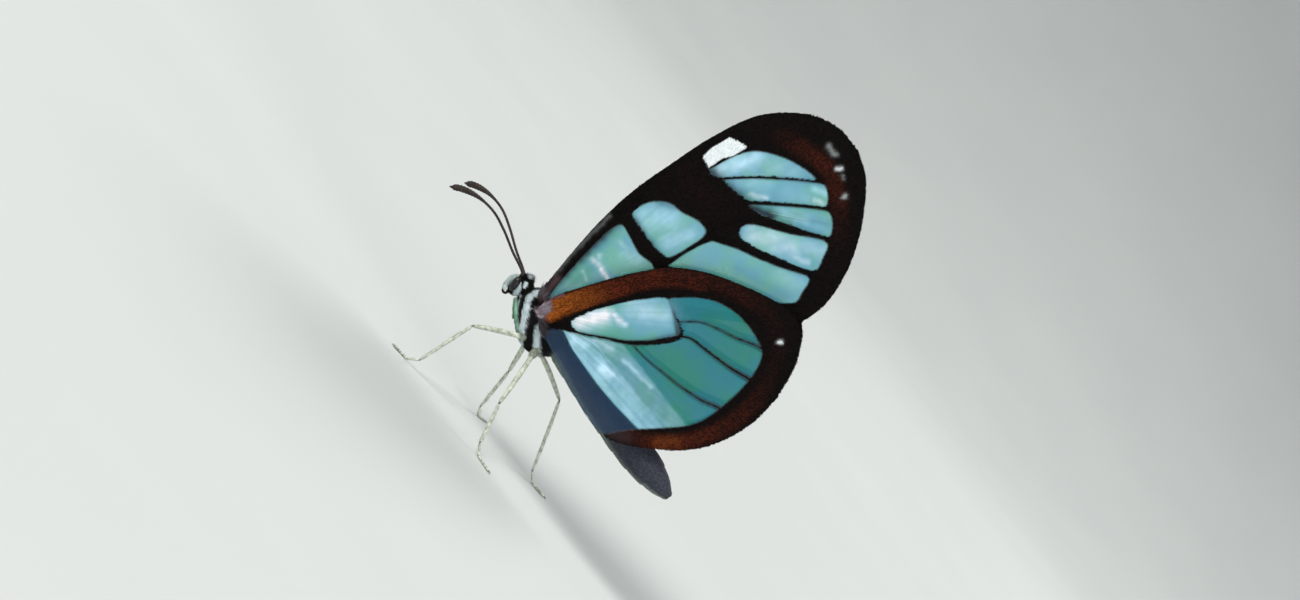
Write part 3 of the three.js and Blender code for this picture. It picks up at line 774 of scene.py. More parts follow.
def wing_fields(form, points):
    """The pattern at side-view points: distances into windows and white spots, and shares of colour.
    Also how far the membrane bows, and how far the veins stand out of it."""
    inside = [inside_distance(points, rounded_loop(outline)) for outline in form["windows"]]
    window = np.max(inside, axis=0)
    nearest = np.full(len(points), FAR)
    ridge = np.zeros(len(points))
    smoke = blobs(points, form["smoke"])
    for path, half, radius, haze in vein_paths(form):
        gap, along = path_distance(points, path)
        dark, radius = (np.interp(along, steps_of(len(path)), size) for size in (half, radius))
        window = np.minimum(window, np.where(dark > 0, gap - dark, FAR))
        grown = 0.5 + 0.5 * along
        reach = form["haze"] * grown
        spread = 1 - smoothstep(gap, dark + 0.4 * reach, dark + reach)
        smoke = np.maximum(smoke, haze * spread * grown)
        nearest = np.minimum(nearest, gap)
        ridge = np.maximum(ridge, np.sqrt(np.maximum(radius ** 2 - gap ** 2, 0)))
    root = wing_root(form, 1)
    gap, along = path_distance(points, root[:, [0, 2]])
    out, radius = (np.interp(along, steps_of(len(root)), root[:, k]) for k in (1, 3))
    above = out + np.sqrt(np.maximum(radius ** 2 - gap ** 2, 0)) - wing_offset(form, points)
    ridge = np.maximum(ridge, np.where(gap < radius, above, 0))
    band = form["rust"]
    gap, along = path_distance(points, evenly(band["path"], 90))
    rust = np.interp(along, steps_of(len(band["shares"])), band["shares"])
    rust *= 1 - smoothstep(gap, band["half"] * 0.3, band["half"] * 1.3)
    plain = np.zeros(len(points))
    fields = {
        "window": window,
        "white": inside_distance(points, np.array(form["white"])) if form["white"] else plain - FAR,
        "frost_and_sheen": blobs(points, form["frost_and_sheen"]),
        "rust": np.maximum(rust, blobs(points, form["maroon"])),
        "ochre": plain,
        "dusky": blobs(points, form["dusky"]),
        "deep": plain + form["deep"],
        # Shares of painted sheen and glints, with a little of the membrane's milkiness, and how pink that
        # painted sheen is
        "pale": blobs(points, [patch[:6] for patch in form["pale"]]),
        "sheen_pink": blobs(points, [(*patch[:5], patch[6]) for patch in form["pale"]]),
        "smoke": smoke,
        "film": plain + form["film"],
        "fold": plain,
    }
    if form is HINDWING:
        colour_hindwing(points, inside[CELL], fields)
    # Painted sheen streaks that radiate from the root; no sheen is painted below the hind wing's fold
    angle = np.arctan2(points[:, 1] - ROOT_PLACE[1], points[:, 0] - ROOT_PLACE[0])
    sheen_streaks = 0.2 * np.sin(angle * 37 + 1.0) + 0.17 * np.sin(angle * 83) + 0.13 * np.sin(angle * 151 + 2.0)
    fields["pale"] = fields["pale"] * (1 + 0.5 * sheen_streaks) * (1 - fields["fold"])
    bow = PLEAT * (1 - np.exp(-(nearest / PLEAT_REACH) ** 2))
    return fields, bow, ridge


def colour_hindwing(points, in_cell, fields):
    """The orange bar, the clear fold along the inner margin and the panels of painted sheen above it."""
    height = points[:, 1]
    from_root = np.linalg.norm(points - ROOT_PLACE, axis=1)
    in_border = -fields["window"]
    ahead = (points - BAR_START) @ np.array(BAR_AHEAD)
    gap, _ = path_distance(points, evenly(BAR_PATH, 60))
    bar = smoothstep(in_border, 0.05, 0.3) * smoothstep(ahead, -0.15, 0.35) * (1 - smoothstep(gap, *BAR_HALF))
    rust = fields["rust"] * smoothstep(from_root, 6.0, 12.0)
    fields["rust"] = np.maximum(rust, bar * (1 - 0.45 * smoothstep(from_root, 5.0, 13.0)))
    glow = blobs(points, [CORNER_GLOW]) * smoothstep(in_border, 0.1, 0.3)
    fields["ochre"] = np.maximum(bar * (1 - smoothstep(from_root, 0.5, 6.6)), glow)
    before_bar = (1 - smoothstep(ahead, -0.1, 0.3)) * smoothstep(height, 2.9, 3.5)
    fields["dusky"] = np.maximum(fields["dusky"], 0.6 * before_bar)
    fields["deep"] += (CELL_DEEP - HINDWING["deep"]) * smoothstep(in_cell, -0.15, 0.1)
    over_fold = height - np.interp(points[:, 0], FOLD[:, 0], FOLD[:, 1])
    fields["fold"] = 1 - smoothstep(over_fold, -0.1, 0.06)
    fields["film"] += (FOLD_FILM - HINDWING["film"]) * fields["fold"]
    # Panels of painted sheen above the fold, outside the cell
    for top, share in PANELS:
        below = 1 - smoothstep(height, top - PANEL_BLUR, top + PANEL_BLUR)
        fields["pale"] += share * (1 - smoothstep(in_cell, -0.2, 0.0)) * below


def wing_surface(form):
    """Side-view points of the membrane in rows from root to tip, the faces of one side of it, and its rim."""
    leading = evenly(form["leading"], WING_ROWS + 1)
    trailing = evenly(form["trailing"], WING_ROWS + 1)
    share = steps_of(WING_COLUMNS + 1)[None, :, None]
    grid = leading[:-1, None] * (1 - share) + trailing[:-1, None] * share
    points = np.vstack([grid.reshape(-1, 2), leading[-1:]])
    width = WING_COLUMNS + 1
    tip = len(points) - 1
    faces = []
    for row in range(WING_ROWS - 1):
        for column in range(WING_COLUMNS):
            a = row * width + column
            faces.append((a, a + width, a + width + 1, a + 1))
    last = (WING_ROWS - 1) * width
    faces.extend((last + column, tip, last + column + 1) for column in range(WING_COLUMNS))
    rim = list(range(WING_COLUMNS, -1, -1))
    rim += [row * width for row in range(1, WING_ROWS)]
    rim += [tip]
    rim += [row * width + WING_COLUMNS for row in range(WING_ROWS - 1, 0, -1)]
    return points, faces, rim


def wing_root(form, side):
    """The joints of the root smoothed into a path of x, y, z and radius."""
    joints = []
    for back, out, up, radius in form["root"]:
        reach = wing_offset(form, np.array([[back, up]]))[0] if out is None else out
        joints.append((back, side * reach, up, radius))
    return evenly(joints, 24)


def make_wing(name, form, side, surface, looks):
    """A thin closed membrane, its veins as fine tubes and the thick root that joins it to the thorax."""
    flat, faces, rim, fields, bow = surface
    parts = Parts()
    count = len(flat)
    low = side_on(flat, side * (wing_offset(form, flat) + bow) - MEMBRANE / 2)
    both = [tuple(reversed(face)) for face in faces]
    both += [tuple(v + count for v in face) for face in faces]
    both += [(a, b, b + count, a + count) for a, b in zip(rim, rim[1:] + rim[:1])]
    both_fields = {key: np.tile(value, 2) for key, value in fields.items()}
    parts.add(np.vstack([low, low + [0, MEMBRANE, 0]]), both, **both_fields)
    for path, half, radius, _ in vein_paths(form):
        points, quads = tube_rings(side_on(path, side * wing_offset(form, path)), radius, VEIN_SIDES)
        own, _, _ = wing_fields(form, points[:, [0, 2]])
        own["window"] = np.where(np.repeat(half, VEIN_SIDES) > BARE_VEIN, -1.0, own["window"])
        parts.add(points, quads, **own)
    root = wing_root(form, side)
    points, quads = tube_rings(root[:, :3], root[:, 3], ROOT_SIDES)
    own, _, _ = wing_fields(form, points[:, [0, 2]])
    parts.add(points, quads, **own | {"window": -1.0})
    piece = parts.make(name, "wing", looks[0], [name])
    piece.data.materials.append(looks[1])
    window = np.concatenate(parts.values["window"])
    opaque = [int(max(window[v] for v in face) < 0.02) for face in parts.faces]
    piece.data.polygons.foreach_set("material_index", opaque)


# Wing scales

SCALE_STEP = (0.08, 0.11)  # across and along the rows
SCALE_SHIFT = 0.025  # how far a scale may stray from its row
SCALE_INSET = 0.05  # how far inside the rim the scales begin
SCALE_STAND = 0.004
SCALE_TURN = 0.09  # how much the scales' headings differ
SCALE_LENGTH = 0.2
SCALE_WIDTH = 0.09
FRINGE_STEP = 0.045
FRINGE_LENGTH = 0.22
FRINGE_WIDTH = 0.07
FRINGE_SUNK = 0.06  # how far inside the rim its roots lie
COSTAL_FRINGE = 0.45  # how long the fringe is along the leading edge, as a share


def scale_places(form):
    """Side-view roots of the scales on a wing's borders and veins, with the pattern there."""
    outline = wing_outline(form)
    steps = [np.arange(*span) for span in zip(outline.min(axis=0), outline.max(axis=0), SCALE_STEP)]
    across, along = np.meshgrid(*steps)
    across[::2] += SCALE_STEP[0] / 2
    points = np.stack([across.ravel(), along.ravel()], axis=1)
    points += random.uniform(-SCALE_SHIFT, SCALE_SHIFT, points.shape)
    points = points[inside_distance(points, outline) > SCALE_INSET]
    fields, bow, ridge = wing_fields(form, points)
    keep = fields["window"] < random.uniform(-0.07, 0.02, len(points))
    fields = {key: value[keep] for key, value in fields.items()}
    return points[keep], fields, bow[keep], ridge[keep]


def fringe_places(form):
    """Side-view roots, headings and outward directions of the fringe round the rim, away from the root."""
    outline = wing_outline(form)
    run = run_along(outline)
    wanted = np.arange(0, run[-1], FRINGE_STEP)
    points = np.stack([np.interp(wanted, run, column) for column in outline.T], axis=1)
    heading = np.gradient(points, axis=0)
    outward = np.stack([-heading[:, 1], heading[:, 0]], axis=1)
    outward /= np.linalg.norm(outward, axis=1)[:, None] + 1e-9
    away = points - ROOT_PLACE
    fields, _, _ = wing_fields(form, points - 0.03 * outward)
    keep = (np.linalg.norm(away, axis=1) > 4) & (fields["window"] < 0)
    return points[keep], (outward + 0.6 * unit(away))[keep], outward[keep]


def make_scales(name, form, side, places, look):
    """The scales on the outer face of a wing's borders and veins, and the fringe round its rim."""
    coat = Coat()
    outline = wing_outline(form)
    low, high = outline.min(axis=0), outline.max(axis=0)
    points, fields, bow, ridge = places["cover"]
    heading = points - ROOT_PLACE
    stand = wing_offset(form, points) + bow + MEMBRANE / 2 + ridge + SCALE_STAND
    lean = (wing_offset(form, points + heading * 0.01) - wing_offset(form, points)) / 0.01
    ahead = unit(side_on(heading, side * lean))
    ahead += random.normal(0, SCALE_TURN, ahead.shape)
    count = len(points)
    outward = np.tile([0.0, side, 0.0], (count, 1))
    length = SCALE_LENGTH * random.uniform(0.8, 1.2, count)
    width = SCALE_WIDTH * random.uniform(0.8, 1.25, count)
    lift = random.uniform(0.05, 0.16, count)
    built = scale_mesh(side_on(points, side * stand), ahead, outward, length, width, lift)
    colours = {key: fields[key] for key in ("rust", "ochre", "dusky")}
    # White scales, and a faint painted sheen on the costa's scales
    colours["white"] = np.maximum(smoothstep(fields["white"], -0.05, 0.03), fields["frost_and_sheen"])
    coat.grow(built, (points - low) / (high - low), **colours, shade=random.uniform(0, 1, count))

    rim, flow, rim_outward = places["fringe"]
    count = len(rim)
    roots = side_on(rim, side * wing_offset(form, rim)) - side_on(rim_outward, 0.0) * FRINGE_SUNK
    ahead = side_on(flow, random.normal(0, 0.12, count))
    outward = np.tile([0.0, side, 0.0], (count, 1))
    size = FRINGE_LENGTH * random.uniform(0.6, 1.15, count) * places["fringe_size"]
    built = scale_mesh(roots, ahead, outward, size, FRINGE_WIDTH, random.normal(0, 0.15, count))
    colours = {key: places["fringe_fields"][key] for key in ("rust", "ochre")}
    coat.grow(built, (rim - low) / (high - low), **colours, shade=random.uniform(0, 0.8, count))
    coat.make(name, "wing", look)


def make_wings(kind, form, looks, scale_look):
    """Both wings of a pair. They are mirror images in their pattern, but not scale for scale."""
    flat, faces, rim = wing_surface(form)
    fields, bow, _ = wing_fields(form, flat)
    fringe = fringe_places(form)
    fringe_fields, _, _ = wing_fields(form, fringe[0])
    costal, _ = path_distance(fringe[0], evenly(form["leading"], 60))
    places = {
        "cover": scale_places(form),
        "fringe": fringe,
        "fringe_fields": fringe_fields,
        "fringe_size": np.where(costal < 0.02, COSTAL_FRINGE, 1.0),
    }
    for word, side in SIDES.items():
        name = f"{kind}_{word}"
        make_wing(name, form, side, (flat, faces, rim, fields, bow), looks)
        make_scales(f"{name}_scales", form, side, places, scale_look)


# Body

BODY_RINGS = np.array([
    # back, mid height, half height, half width
    (-5.13, 3.0, 0.06, 0.06), (-5.06, 3.0, 0.46, 0.34), (-4.85, 3.05, 0.8, 0.6), (-4.6, 3.12, 0.98, 0.76),
    (-4.35, 3.18, 1.0, 0.78), (-4.1, 3.2, 0.86, 0.7), (-3.9, 3.15, 0.7, 0.54), (-3.7, 3.05, 0.72, 0.54),
    (-3.4, 2.9, 0.96, 0.7), (-2.9, 2.75, 1.36, 0.98), (-2.4, 2.66, 1.67, 1.16), (-1.4, 2.5, 2.05, 1.32),
    (-0.4, 2.45, 2.18, 1.36), (0.5, 2.38, 1.92, 1.2), (1.2, 2.34, 1.3, 0.92), (1.6, 2.3, 0.86, 0.76),
    (2.1, 2.28, 0.94, 0.82), (3.4, 2.2, 1.0, 0.9), (5.8, 2.06, 1.12, 1.0), (8.0, 2.02, 1.26, 1.08),
    (10.5, 2.0, 1.39, 1.18), (12.8, 2.06, 1.45, 1.22), (14.3, 2.05, 1.27, 1.08), (15.3, 2.02, 1.0, 0.86),
    (16.2, 1.98, 0.62, 0.54), (16.65, 1.97, 0.34, 0.3), (16.78, 1.96, 0.06, 0.06),
])
ABDOMEN_START = 1.8
ABDOMEN_END = 16.3
ABDOMEN_SEGMENTS = 8
SEGMENT_LIP = 0.05
BODY_SIDES = 96
BODY_STEPS = 380
MARKS = [
    # path in side view, half width, share
    ([(-3.76, 2.62), (-2.85, 1.69), (-1.5, 0.66)], 0.22, 0.5),
    ([(-3.1, 4.2), (-3.1, 3.14), (-1.97, 1.72), (-0.7, 0.15)], 0.25, 0.95),
    ([(-0.88, 3.12), (-0.88, 2.34), (0.3, 1.1), (0.77, 0.6)], 0.28, 0.8),
    ([(-4.68, 3.24), (-4.4, 3.0), (-4.08, 2.36)], 0.21, 1.0),
    ([(-4.26, 3.62), (-4.13, 3.42)], 0.14, 0.95),
]
FACE_SHARE = 0.8
CROWN_SHARE = 0.55
DUSKY_PATH = [(-2.15, 3.25), (-1.6, 3.15)]
# Half heights, from the middle, down to which the abdomen is dark, at places along it
PALE_BELOW = np.array([
    (1.5, -0.2), (3.4, -0.38), (5.9, -0.58), (8.0, -0.66), (11.8, -0.83), (13.5, -0.83), (15.5, -0.7),
])


def body_profile(back):
    """Mid height, half height and half width of the body at each place along it."""
    curve = catmull_rom(BODY_RINGS, 16)
    mid, half, wide = (np.interp(back, curve[:, 0], curve[:, k]) for k in (1, 2, 3))
    run = (back - ABDOMEN_START) / (ABDOMEN_END - ABDOMEN_START) * ABDOMEN_SEGMENTS
    within = run - np.floor(run)
    ringed = smoothstep(run, 0, 0.3) * (1 - smoothstep(run, ABDOMEN_SEGMENTS - 0.3, ABDOMEN_SEGMENTS))
    lip = ringed * SEGMENT_LIP * (smoothstep(within, 0.0, 0.8) - 0.6 - smoothstep(within, 0.93, 1.0))
    return mid, half + lip, wide + lip


def body_surface(back, turn):
    """Points on the skin at a place along the body and an angle round it, and their outward directions."""
    mid, half, wide = body_profile(back)
    points = np.stack([back, np.cos(turn) * wide, mid + np.sin(turn) * half], axis=1)
    outward = unit(np.stack([np.zeros_like(back), np.cos(turn) / wide, np.sin(turn) / half], axis=1))
    step = 0.06
    _, ahead, _ = body_profile(back + step)
    _, behind, _ = body_profile(back - step)
    outward[:, 0] = -(ahead - behind) / (2 * step)
    return points, unit(outward)


def body_marks(points):
    """Shares of the body's pale marks, of the slate abdomen and of the pinkish wing base, at each point."""
    side_view = points[:, [0, 2]]
    back, up = side_view.T
    out = np.abs(points[:, 1])
    mark = np.zeros(len(points))
    for path, half, share in MARKS:
        gap, _ = path_distance(side_view, path)
        stripe = share * (1 - smoothstep(gap, half * 0.7, half * 1.3))
        mark = np.maximum(mark, stripe * smoothstep(out, 0.12, 0.4))
    face = (1 - smoothstep(back, -5.05, -4.85)) * (1 - smoothstep(out, 0.25, 0.4))
    crown = smoothstep(up, 3.82, 4.0) * (1 - smoothstep(back, -4.4, -4.2)) * smoothstep(out, 0.0, 0.2)
    mark = np.maximum(mark, np.maximum(face * FACE_SHARE, crown * CROWN_SHARE))
    mid, half, _ = body_profile(back)
    slate = smoothstep(back, 1.3, 2.0)
    below = np.interp(back, PALE_BELOW[:, 0], PALE_BELOW[:, 1])
    # The pale underside, coloured darker as painted shade
    belly = slate * (1 - smoothstep((up - mid) / half - below, -0.2, 0.2))
    gap, _ = path_distance(side_view, DUSKY_PATH)
    dusky = (1 - smoothstep(gap, 0.2, 0.42)) * smoothstep(out, 0.5, 0.8)
    return {"mark": mark, "slate": slate, "dusky": dusky, "belly": belly}


def make_body(look):
    """One skin from the face to the tip of the abdomen."""
    back = evenly(BODY_RINGS, BODY_STEPS)[:, 0]
    turns = 2 * np.pi * np.arange(BODY_SIDES) / BODY_SIDES
    points, _ = body_surface(np.repeat(back, BODY_SIDES), np.tile(turns, BODY_STEPS))
    skin = Parts()
    skin.add(points, ring_faces(BODY_STEPS, BODY_SIDES), **body_marks(points))
    skin.make("body_skin", "body", look, ["head", "thorax", "abdomen"])


# Coat

COAT_AREAS = [
    # name, from, to, tufts, length, width, lift
    ("head_coat", -5.08, -3.75, 7000, 0.26, 0.034, 0.75),
    ("thorax_coat", -3.8, 1.6, 17000, 0.52, 0.05, 0.3),
    ("abdomen_coat", 1.4, 16.6, 24000, 0.24, 0.11, 0.1),
]
CROWN_PLACE = (-4.5, 0.35)  # the tuft between the feelers
BACK_HAIR = 0.7  # how much longer the hair is along the top of the thorax
HAIR_TURN = 0.16  # how much the hairs' headings differ


def make_body_coat(look):
    """Hairs on head and thorax and flat scales on the abdomen, all lying back."""
    for name, start, end, count, length, width, lift in COAT_AREAS:
        back = random.uniform(start, end, count * 3)
        _, half, _ = body_profile(back)
        back = back[random.uniform(0, 1, count * 3) < half / half.max()][:count]
        count = len(back)
        turn = random.uniform(0, 2 * np.pi, count)
        roots, outward = body_surface(back, turn)
        lie = np.array([1.0, 0.0, 0.0]) + random.normal(0, HAIR_TURN, (count, 3))
        size = length * random.uniform(0.6, 1.2, count)
        lifts = lift * random.uniform(0.4, 1.5, count)
        if name == "thorax_coat":
            size *= 1 + BACK_HAIR * smoothstep(np.sin(turn), 0.5, 0.95)
        if name == "head_coat":
            middle, reach = CROWN_PLACE
            crown = np.exp(-((back - middle) / reach) ** 2) * smoothstep(np.sin(turn), 0.7, 0.95)
            size *= 1 + 0.8 * crown
            lifts += 0.4 * crown
        if name == "abdomen_coat":
            widths = width * random.uniform(0.75, 1.2, count)
            built = scale_mesh(roots, lie, outward, size, widths, lifts)
        else:
            widths = width * random.uniform(0.7, 1.3, count)
            built = tuft_mesh(roots, lie, outward, size, widths, lifts, random.uniform(0.0, 0.4, count))
        marks = body_marks(roots + [0.4 * length, 0, 0])
        places = np.stack([(back - start) / (end - start), turn / (2 * np.pi)], axis=1)
        coat = Coat()
        coat.grow(built, places, **marks, shade=random.uniform(0, 1, count))
        coat.make(name, "body", look)


SHOULDER_PLACE = (-2.2, 0.94, 3.38)
SHOULDER_HALF = np.array([0.62, 0.28, 0.34])
SHOULDER_GRID = (24, 32)
SHOULDER_HAIRS = 2600
LONG_HAIR_WIDTH = 0.05


def ball(rings, sides):
    """Points of a unit ball about an axis that points out of the animal's side."""
    turn = np.linspace(0.02, np.pi - 0.02, rings)
    around = 2 * np.pi * np.arange(sides) / sides
    a, b = (grid.ravel() for grid in np.meshgrid(turn, around, indexing="ij"))
    return np.stack([-np.sin(a) * np.cos(b), np.cos(a), np.sin(a) * np.sin(b)], axis=1)


def make_shoulders(skin_look, hair_look):
    """The scaled lobe over each fore wing's root, and its long hair scales."""
    skin = Parts()
    coat = Coat()
    count = SHOULDER_HAIRS
    for side in SIDES.values():
        centre = mirrored(SHOULDER_PLACE, side)
        lobe = ball(*SHOULDER_GRID) * SHOULDER_HALF + centre
        skin.add(lobe, ring_faces(*SHOULDER_GRID), mark=0.0, slate=0.4)
        outward = unit(random.normal(0, 1, (count, 3)))
        lie = np.array([1.0, 0.0, 0.25]) + random.normal(0, 0.2, (count, 3))
        size = random.uniform(0.25, 0.55, count)
        lift = random.uniform(0.1, 0.5, count)
        roots = outward * SHOULDER_HALF + centre
        built = tuft_mesh(roots, lie, outward, size, LONG_HAIR_WIDTH, lift, random.uniform(0, 0.3, count))
        dusky = 0.7 * smoothstep(outward[:, 0], -0.5, 0.6)
        half_map = 0.5 if side > 0 else 0.0
        places = np.stack([0.25 + 0.2 * outward[:, 0] + half_map, 0.5 + 0.45 * outward[:, 2]], axis=1)
        coat.grow(built, places, dusky=dusky, shade=random.uniform(0, 1, count))
    skin.make("shoulder_lobes", "body", skin_look)
    coat.make("shoulder_coat", "body", hair_look)


WING_HAIR = [
    # form, from, to, hairs, length, share of pinkish hairs
    (FOREWING, (-2.85, 4.05), (-1.95, 3.75), 700, 0.7, 0.3),
    (HINDWING, (-1.95, 3.8), (-1.3, 3.1), 600, 0.75, 0.75),
    (HINDWING, (-1.3, 3.1), (-0.5, 2.5), 500, 0.7, 0.1),
]
WING_HAIR_FROM = (-2.1, 2.7)  # the place that the hairs over the wing bases point away from


def make_wing_hair(look):
    """Long hairs that run from the thorax out over the base of each wing."""
    coat = Coat()
    for side in SIDES.values():
        for form, start, end, count, length, dusky in WING_HAIR:
            along = random.uniform(0, 1, (count, 1))
            flat = np.asarray(start) * (1 - along) + np.asarray(end) * along
            heading = unit(flat - WING_HAIR_FROM)
            flat = flat + heading * random.uniform(-0.3, 0.25, (count, 1))
            _, _, ridge = wing_fields(form, flat)
            stand = wing_offset(form, flat) + MEMBRANE / 2 + ridge - 0.02
            outward = np.tile([0.0, side, 0.0], (count, 1))
            lie = side_on(heading, 0.0) + random.normal(0, HAIR_TURN, (count, 3))
            size = length * random.uniform(0.5, 1.2, count)
            lift = random.uniform(0.05, 0.3, count)
            bend = random.uniform(0, 0.3, count)
            built = tuft_mesh(side_on(flat, side * stand), lie, outward, size, LONG_HAIR_WIDTH, lift, bend)
            tone = dusky * random.uniform(0.5, 1.2, count).clip(0, 1)
            places = np.stack([0.5 + 0.1 * flat[:, 0] * side, 0.1 * flat[:, 1]], axis=1)
            coat.grow(built, places, dusky=tone, shade=random.uniform(0, 1, count))
    coat.make("wing_base_hair", "body", look)


# Eyes, antennae and mouthparts

EYE_PLACE = (-4.76, 0.8, 2.96)
EYE_HALF = (0.34, 0.44, 0.68)
EYE_TILT = math.radians(14)
EYE_GRID = (100, 150)
EYE_FACETS = 1500
FACET_DEPTH = 0.008
ANTENNA_PATH = [
    (-4.9, 0.32, 3.7), (-5.1, 0.38, 3.92), (-6.9, 1.0, 4.45), (-8.8, 1.7, 5.1), (-10.4, 2.35, 5.45),
    (-12.0, 3.0, 5.3), (-13.3, 3.5, 4.75), (-14.1, 3.85, 4.1),
]
ANTENNA_SEGMENTS = 38
PALP_PATH = [
    (-4.86, 0.42, 1.98), (-5.12, 0.44, 2.12), (-5.28, 0.44, 2.6), (-5.26, 0.4, 3.05), (-5.04, 0.34, 3.42),
]
COIL_CENTRE = (-4.88, 1.86)
COIL_RADII = (0.3, 0.08)
COIL_TURNS = 3.2
COIL_ROOT = [(-4.72, 0.0, 2.34), (-4.8, 0.0, 2.24)]


def add_spines(parts, path, radius, count, length, width, lift, start=0.05, end=0.95):
    """Short spines or bristles that lean along a limb, all round it."""
    index = random.uniform(start, end, count) * (len(path) - 1)
    base = np.floor(index).astype(int)
    share = (index - base)[:, None]
    at = path[base] * (1 - share) + path[np.minimum(base + 1, len(path) - 1)] * share
    ahead = unit(np.gradient(path, axis=0)[base])
    outward = along_surface(random.normal(0, 1, (count, 3)), ahead)
    reach = np.interp(index, np.arange(len(path)), radius)
    size = length * random.uniform(0.6, 1.2, count)
    roots = at + outward * reach[:, None] * 0.9
    points, faces, _ = tuft_mesh(roots, ahead, outward, size, width, lift, random.uniform(0, 0.3, count))
    parts.add(points, faces, joint=0.0)


def make_brush(name, slot, look, path, radius, thinnest, sides, joint, spines):
    """A limb as one tube, with its spines or scale hairs."""
    parts = Parts()
    points, faces = tube_rings(path, np.maximum(radius, thinnest), sides)
    parts.add(points, faces, joint=np.repeat(joint, sides))
    add_spines(parts, path, radius, *spines)
    parts.make(name, slot, look, [name])


def make_eye(word, side, look):
    """A bulging compound eye with a facet at each point of an even spiral."""
    directions = ball(*EYE_GRID)
    step = np.arange(EYE_FACETS) + 0.5
    height = 1 - 2 * step / EYE_FACETS
    around = step * math.pi * (1 + math.sqrt(5))
    level = np.sqrt(1 - height ** 2)
    centres = np.stack([np.cos(around) * level, height, np.sin(around) * level], axis=1)
    nearest = np.arccos(np.clip((directions @ centres.T).max(axis=1), -1, 1))
    across = math.sqrt(4 * math.pi / EYE_FACETS)
    swell = FACET_DEPTH * (1 - (nearest / across * 1.8) ** 2)
    back, out, up = (directions * (EYE_HALF + swell[:, None])).T
    turned_back = back * math.cos(EYE_TILT) - up * math.sin(EYE_TILT)
    turned_up = back * math.sin(EYE_TILT) + up * math.cos(EYE_TILT)
    eye = Parts()
    points = np.stack([turned_back, out, turned_up], axis=1) + mirrored(EYE_PLACE, side)
    eye.add(points, ring_faces(*EYE_GRID))
    eye.make(f"eye_{word}", "eye", look, [f"eye_{word}"])


def make_antenna(word, side, look):
    """A jointed feeler: a stout base, a long shaft of short joints and a slender club."""
    count = ANTENNA_SEGMENTS * 6
    path = evenly(mirrored(ANTENNA_PATH, side), count)
    along = steps_of(count)
    shaft = 0.1 + 0.15 * smoothstep(along, 0.66, 0.9) - 0.2 * smoothstep(along, 0.95, 1.0)
    shaft = shaft + 0.08 * (1 - smoothstep(along, 0.0, 0.05))
    within = (along * ANTENNA_SEGMENTS) % 1
    radius = shaft * (1 + 0.14 * smoothstep(within, 0.1, 0.7) - 0.14 * smoothstep(within, 0.85, 1.0))
    joint = smoothstep(within, 0.8, 0.95) * 0.7
    spines = (900, 0.09, 0.02, 0.5, 0.02, 0.99)
    make_brush(f"antenna_{word}", "antenna", look, path, radius, 0.03, 14, joint, spines)


def make_palp(word, side, look):
    """A short jointed palp, curved up before the face and fringed with scale hairs."""
    path = evenly(mirrored(PALP_PATH, side), 40)
    along = steps_of(40)
    radius = 0.17 + 0.06 * np.sin(np.pi * along) - 0.15 * smoothstep(along, 0.8, 1.0)
    hairs = (1500, 0.2, 0.03, 0.55, 0.0, 0.97)
    make_brush(f"palp_{word}", "leg", look, path, radius, 0.04, 14, along * 0, hairs)


def make_proboscis(look):
    """The rolled tongue: a thin tapering strand in a flat coil between the palps."""
    turn = np.linspace(0, 2 * np.pi * COIL_TURNS, 260)
    reach = COIL_RADII[0] + (COIL_RADII[1] - COIL_RADII[0]) * (turn / turn[-1])
    back = COIL_CENTRE[0] - np.cos(turn + np.pi / 2) * reach
    up = COIL_CENTRE[1] + np.sin(turn + np.pi / 2) * reach
    coil = np.stack([back, 0.02 * np.sin(turn), up], axis=1)
    path = np.vstack([evenly([*COIL_ROOT, (coil[0, 0] + 0.02, 0.0, coil[0, 2])], 14)[:-1], coil])
    along = steps_of(len(path))
    tongue = Parts()
    points, faces = tube_rings(path, (0.055 - 0.025 * along) * (1 + 0.05 * np.sin(along * 420)), 12)
    tongue.add(points, faces, joint=0.0)
    tongue.make("proboscis", "antenna", look, ["proboscis"])


# Legs

# Each leg's hip, knee, ankle and toe
LEGS = {
    "midleg_left": [(-0.7, 0.75, 0.9), (-4.15, 2.9, -1.6), (-4.6, 4.0, -6.6), (-6.7, 4.9, -7.28)],
    "midleg_right": [(-0.7, 0.75, 0.9), (0.5, 3.2, -2.6), (1.35, 4.5, -6.6), (2.6, 5.9, -7.28)],
    "hindleg_left": [(0.55, 0.75, 0.9), (2.15, 3.6, -3.7), (3.7, 5.4, -6.6), (5.9, 6.2, -7.28)],
    "hindleg_right": [(0.55, 0.75, 0.9), (5.0, 2.9, -0.7), (8.3, 5.1, -6.6), (10.6, 5.7, -7.28)],
}
SOLE = -STAND_HEIGHT
# Radii at both ends of a length of leg, how much it swells between them, and its bow
HAUNCH = (0.32, 0.25, 0.05, 0.0)
THIGH = (0.18, 0.15, 0.06, 0.12)
SHIN = (0.13, 0.115, 0.03, 0.06)
SPUR = (0.05, 0.02, 0.0, 0.0)
FOOT_JOINT = (0.095, 0.11, 0.0, 0.0)
FOOT_JOINT_ENDS = (0, 25, 36, 44, 52, 60)  # steps of the foot's path
FOOT_HEIGHT = 0.115
LIMB_SIDES = 12
FORELEG_PATH = [
    (-1.5, 0.75, 0.75), (-2.6, 0.9, 1.35), (-3.75, 0.82, 2.2), (-3.62, 0.62, 1.95), (-2.6, 0.5, 1.0),
]


def limb(parts, start, end, sizes, steps=26):
    """One length of a leg, a little swollen or bowed in the middle. Returns its path and radii."""
    radius_start, radius_end, swell, bow = sizes
    along = steps_of(steps)
    path = start + (end - start) * along[:, None]
    path[:, 2] += bow * np.sin(np.pi * along)
    radius = radius_start + (radius_end - radius_start) * along + swell * np.sin(np.pi * along)
    from_middle = np.abs(along - 0.5)
    radius = radius * (1 - 0.45 * smoothstep(from_middle, 0.44, 0.5))
    points, faces = tube_rings(path, radius, LIMB_SIDES)
    parts.add(points, faces, joint=np.repeat(0.8 * smoothstep(from_middle, 0.46, 0.5), LIMB_SIDES))
    return path, radius


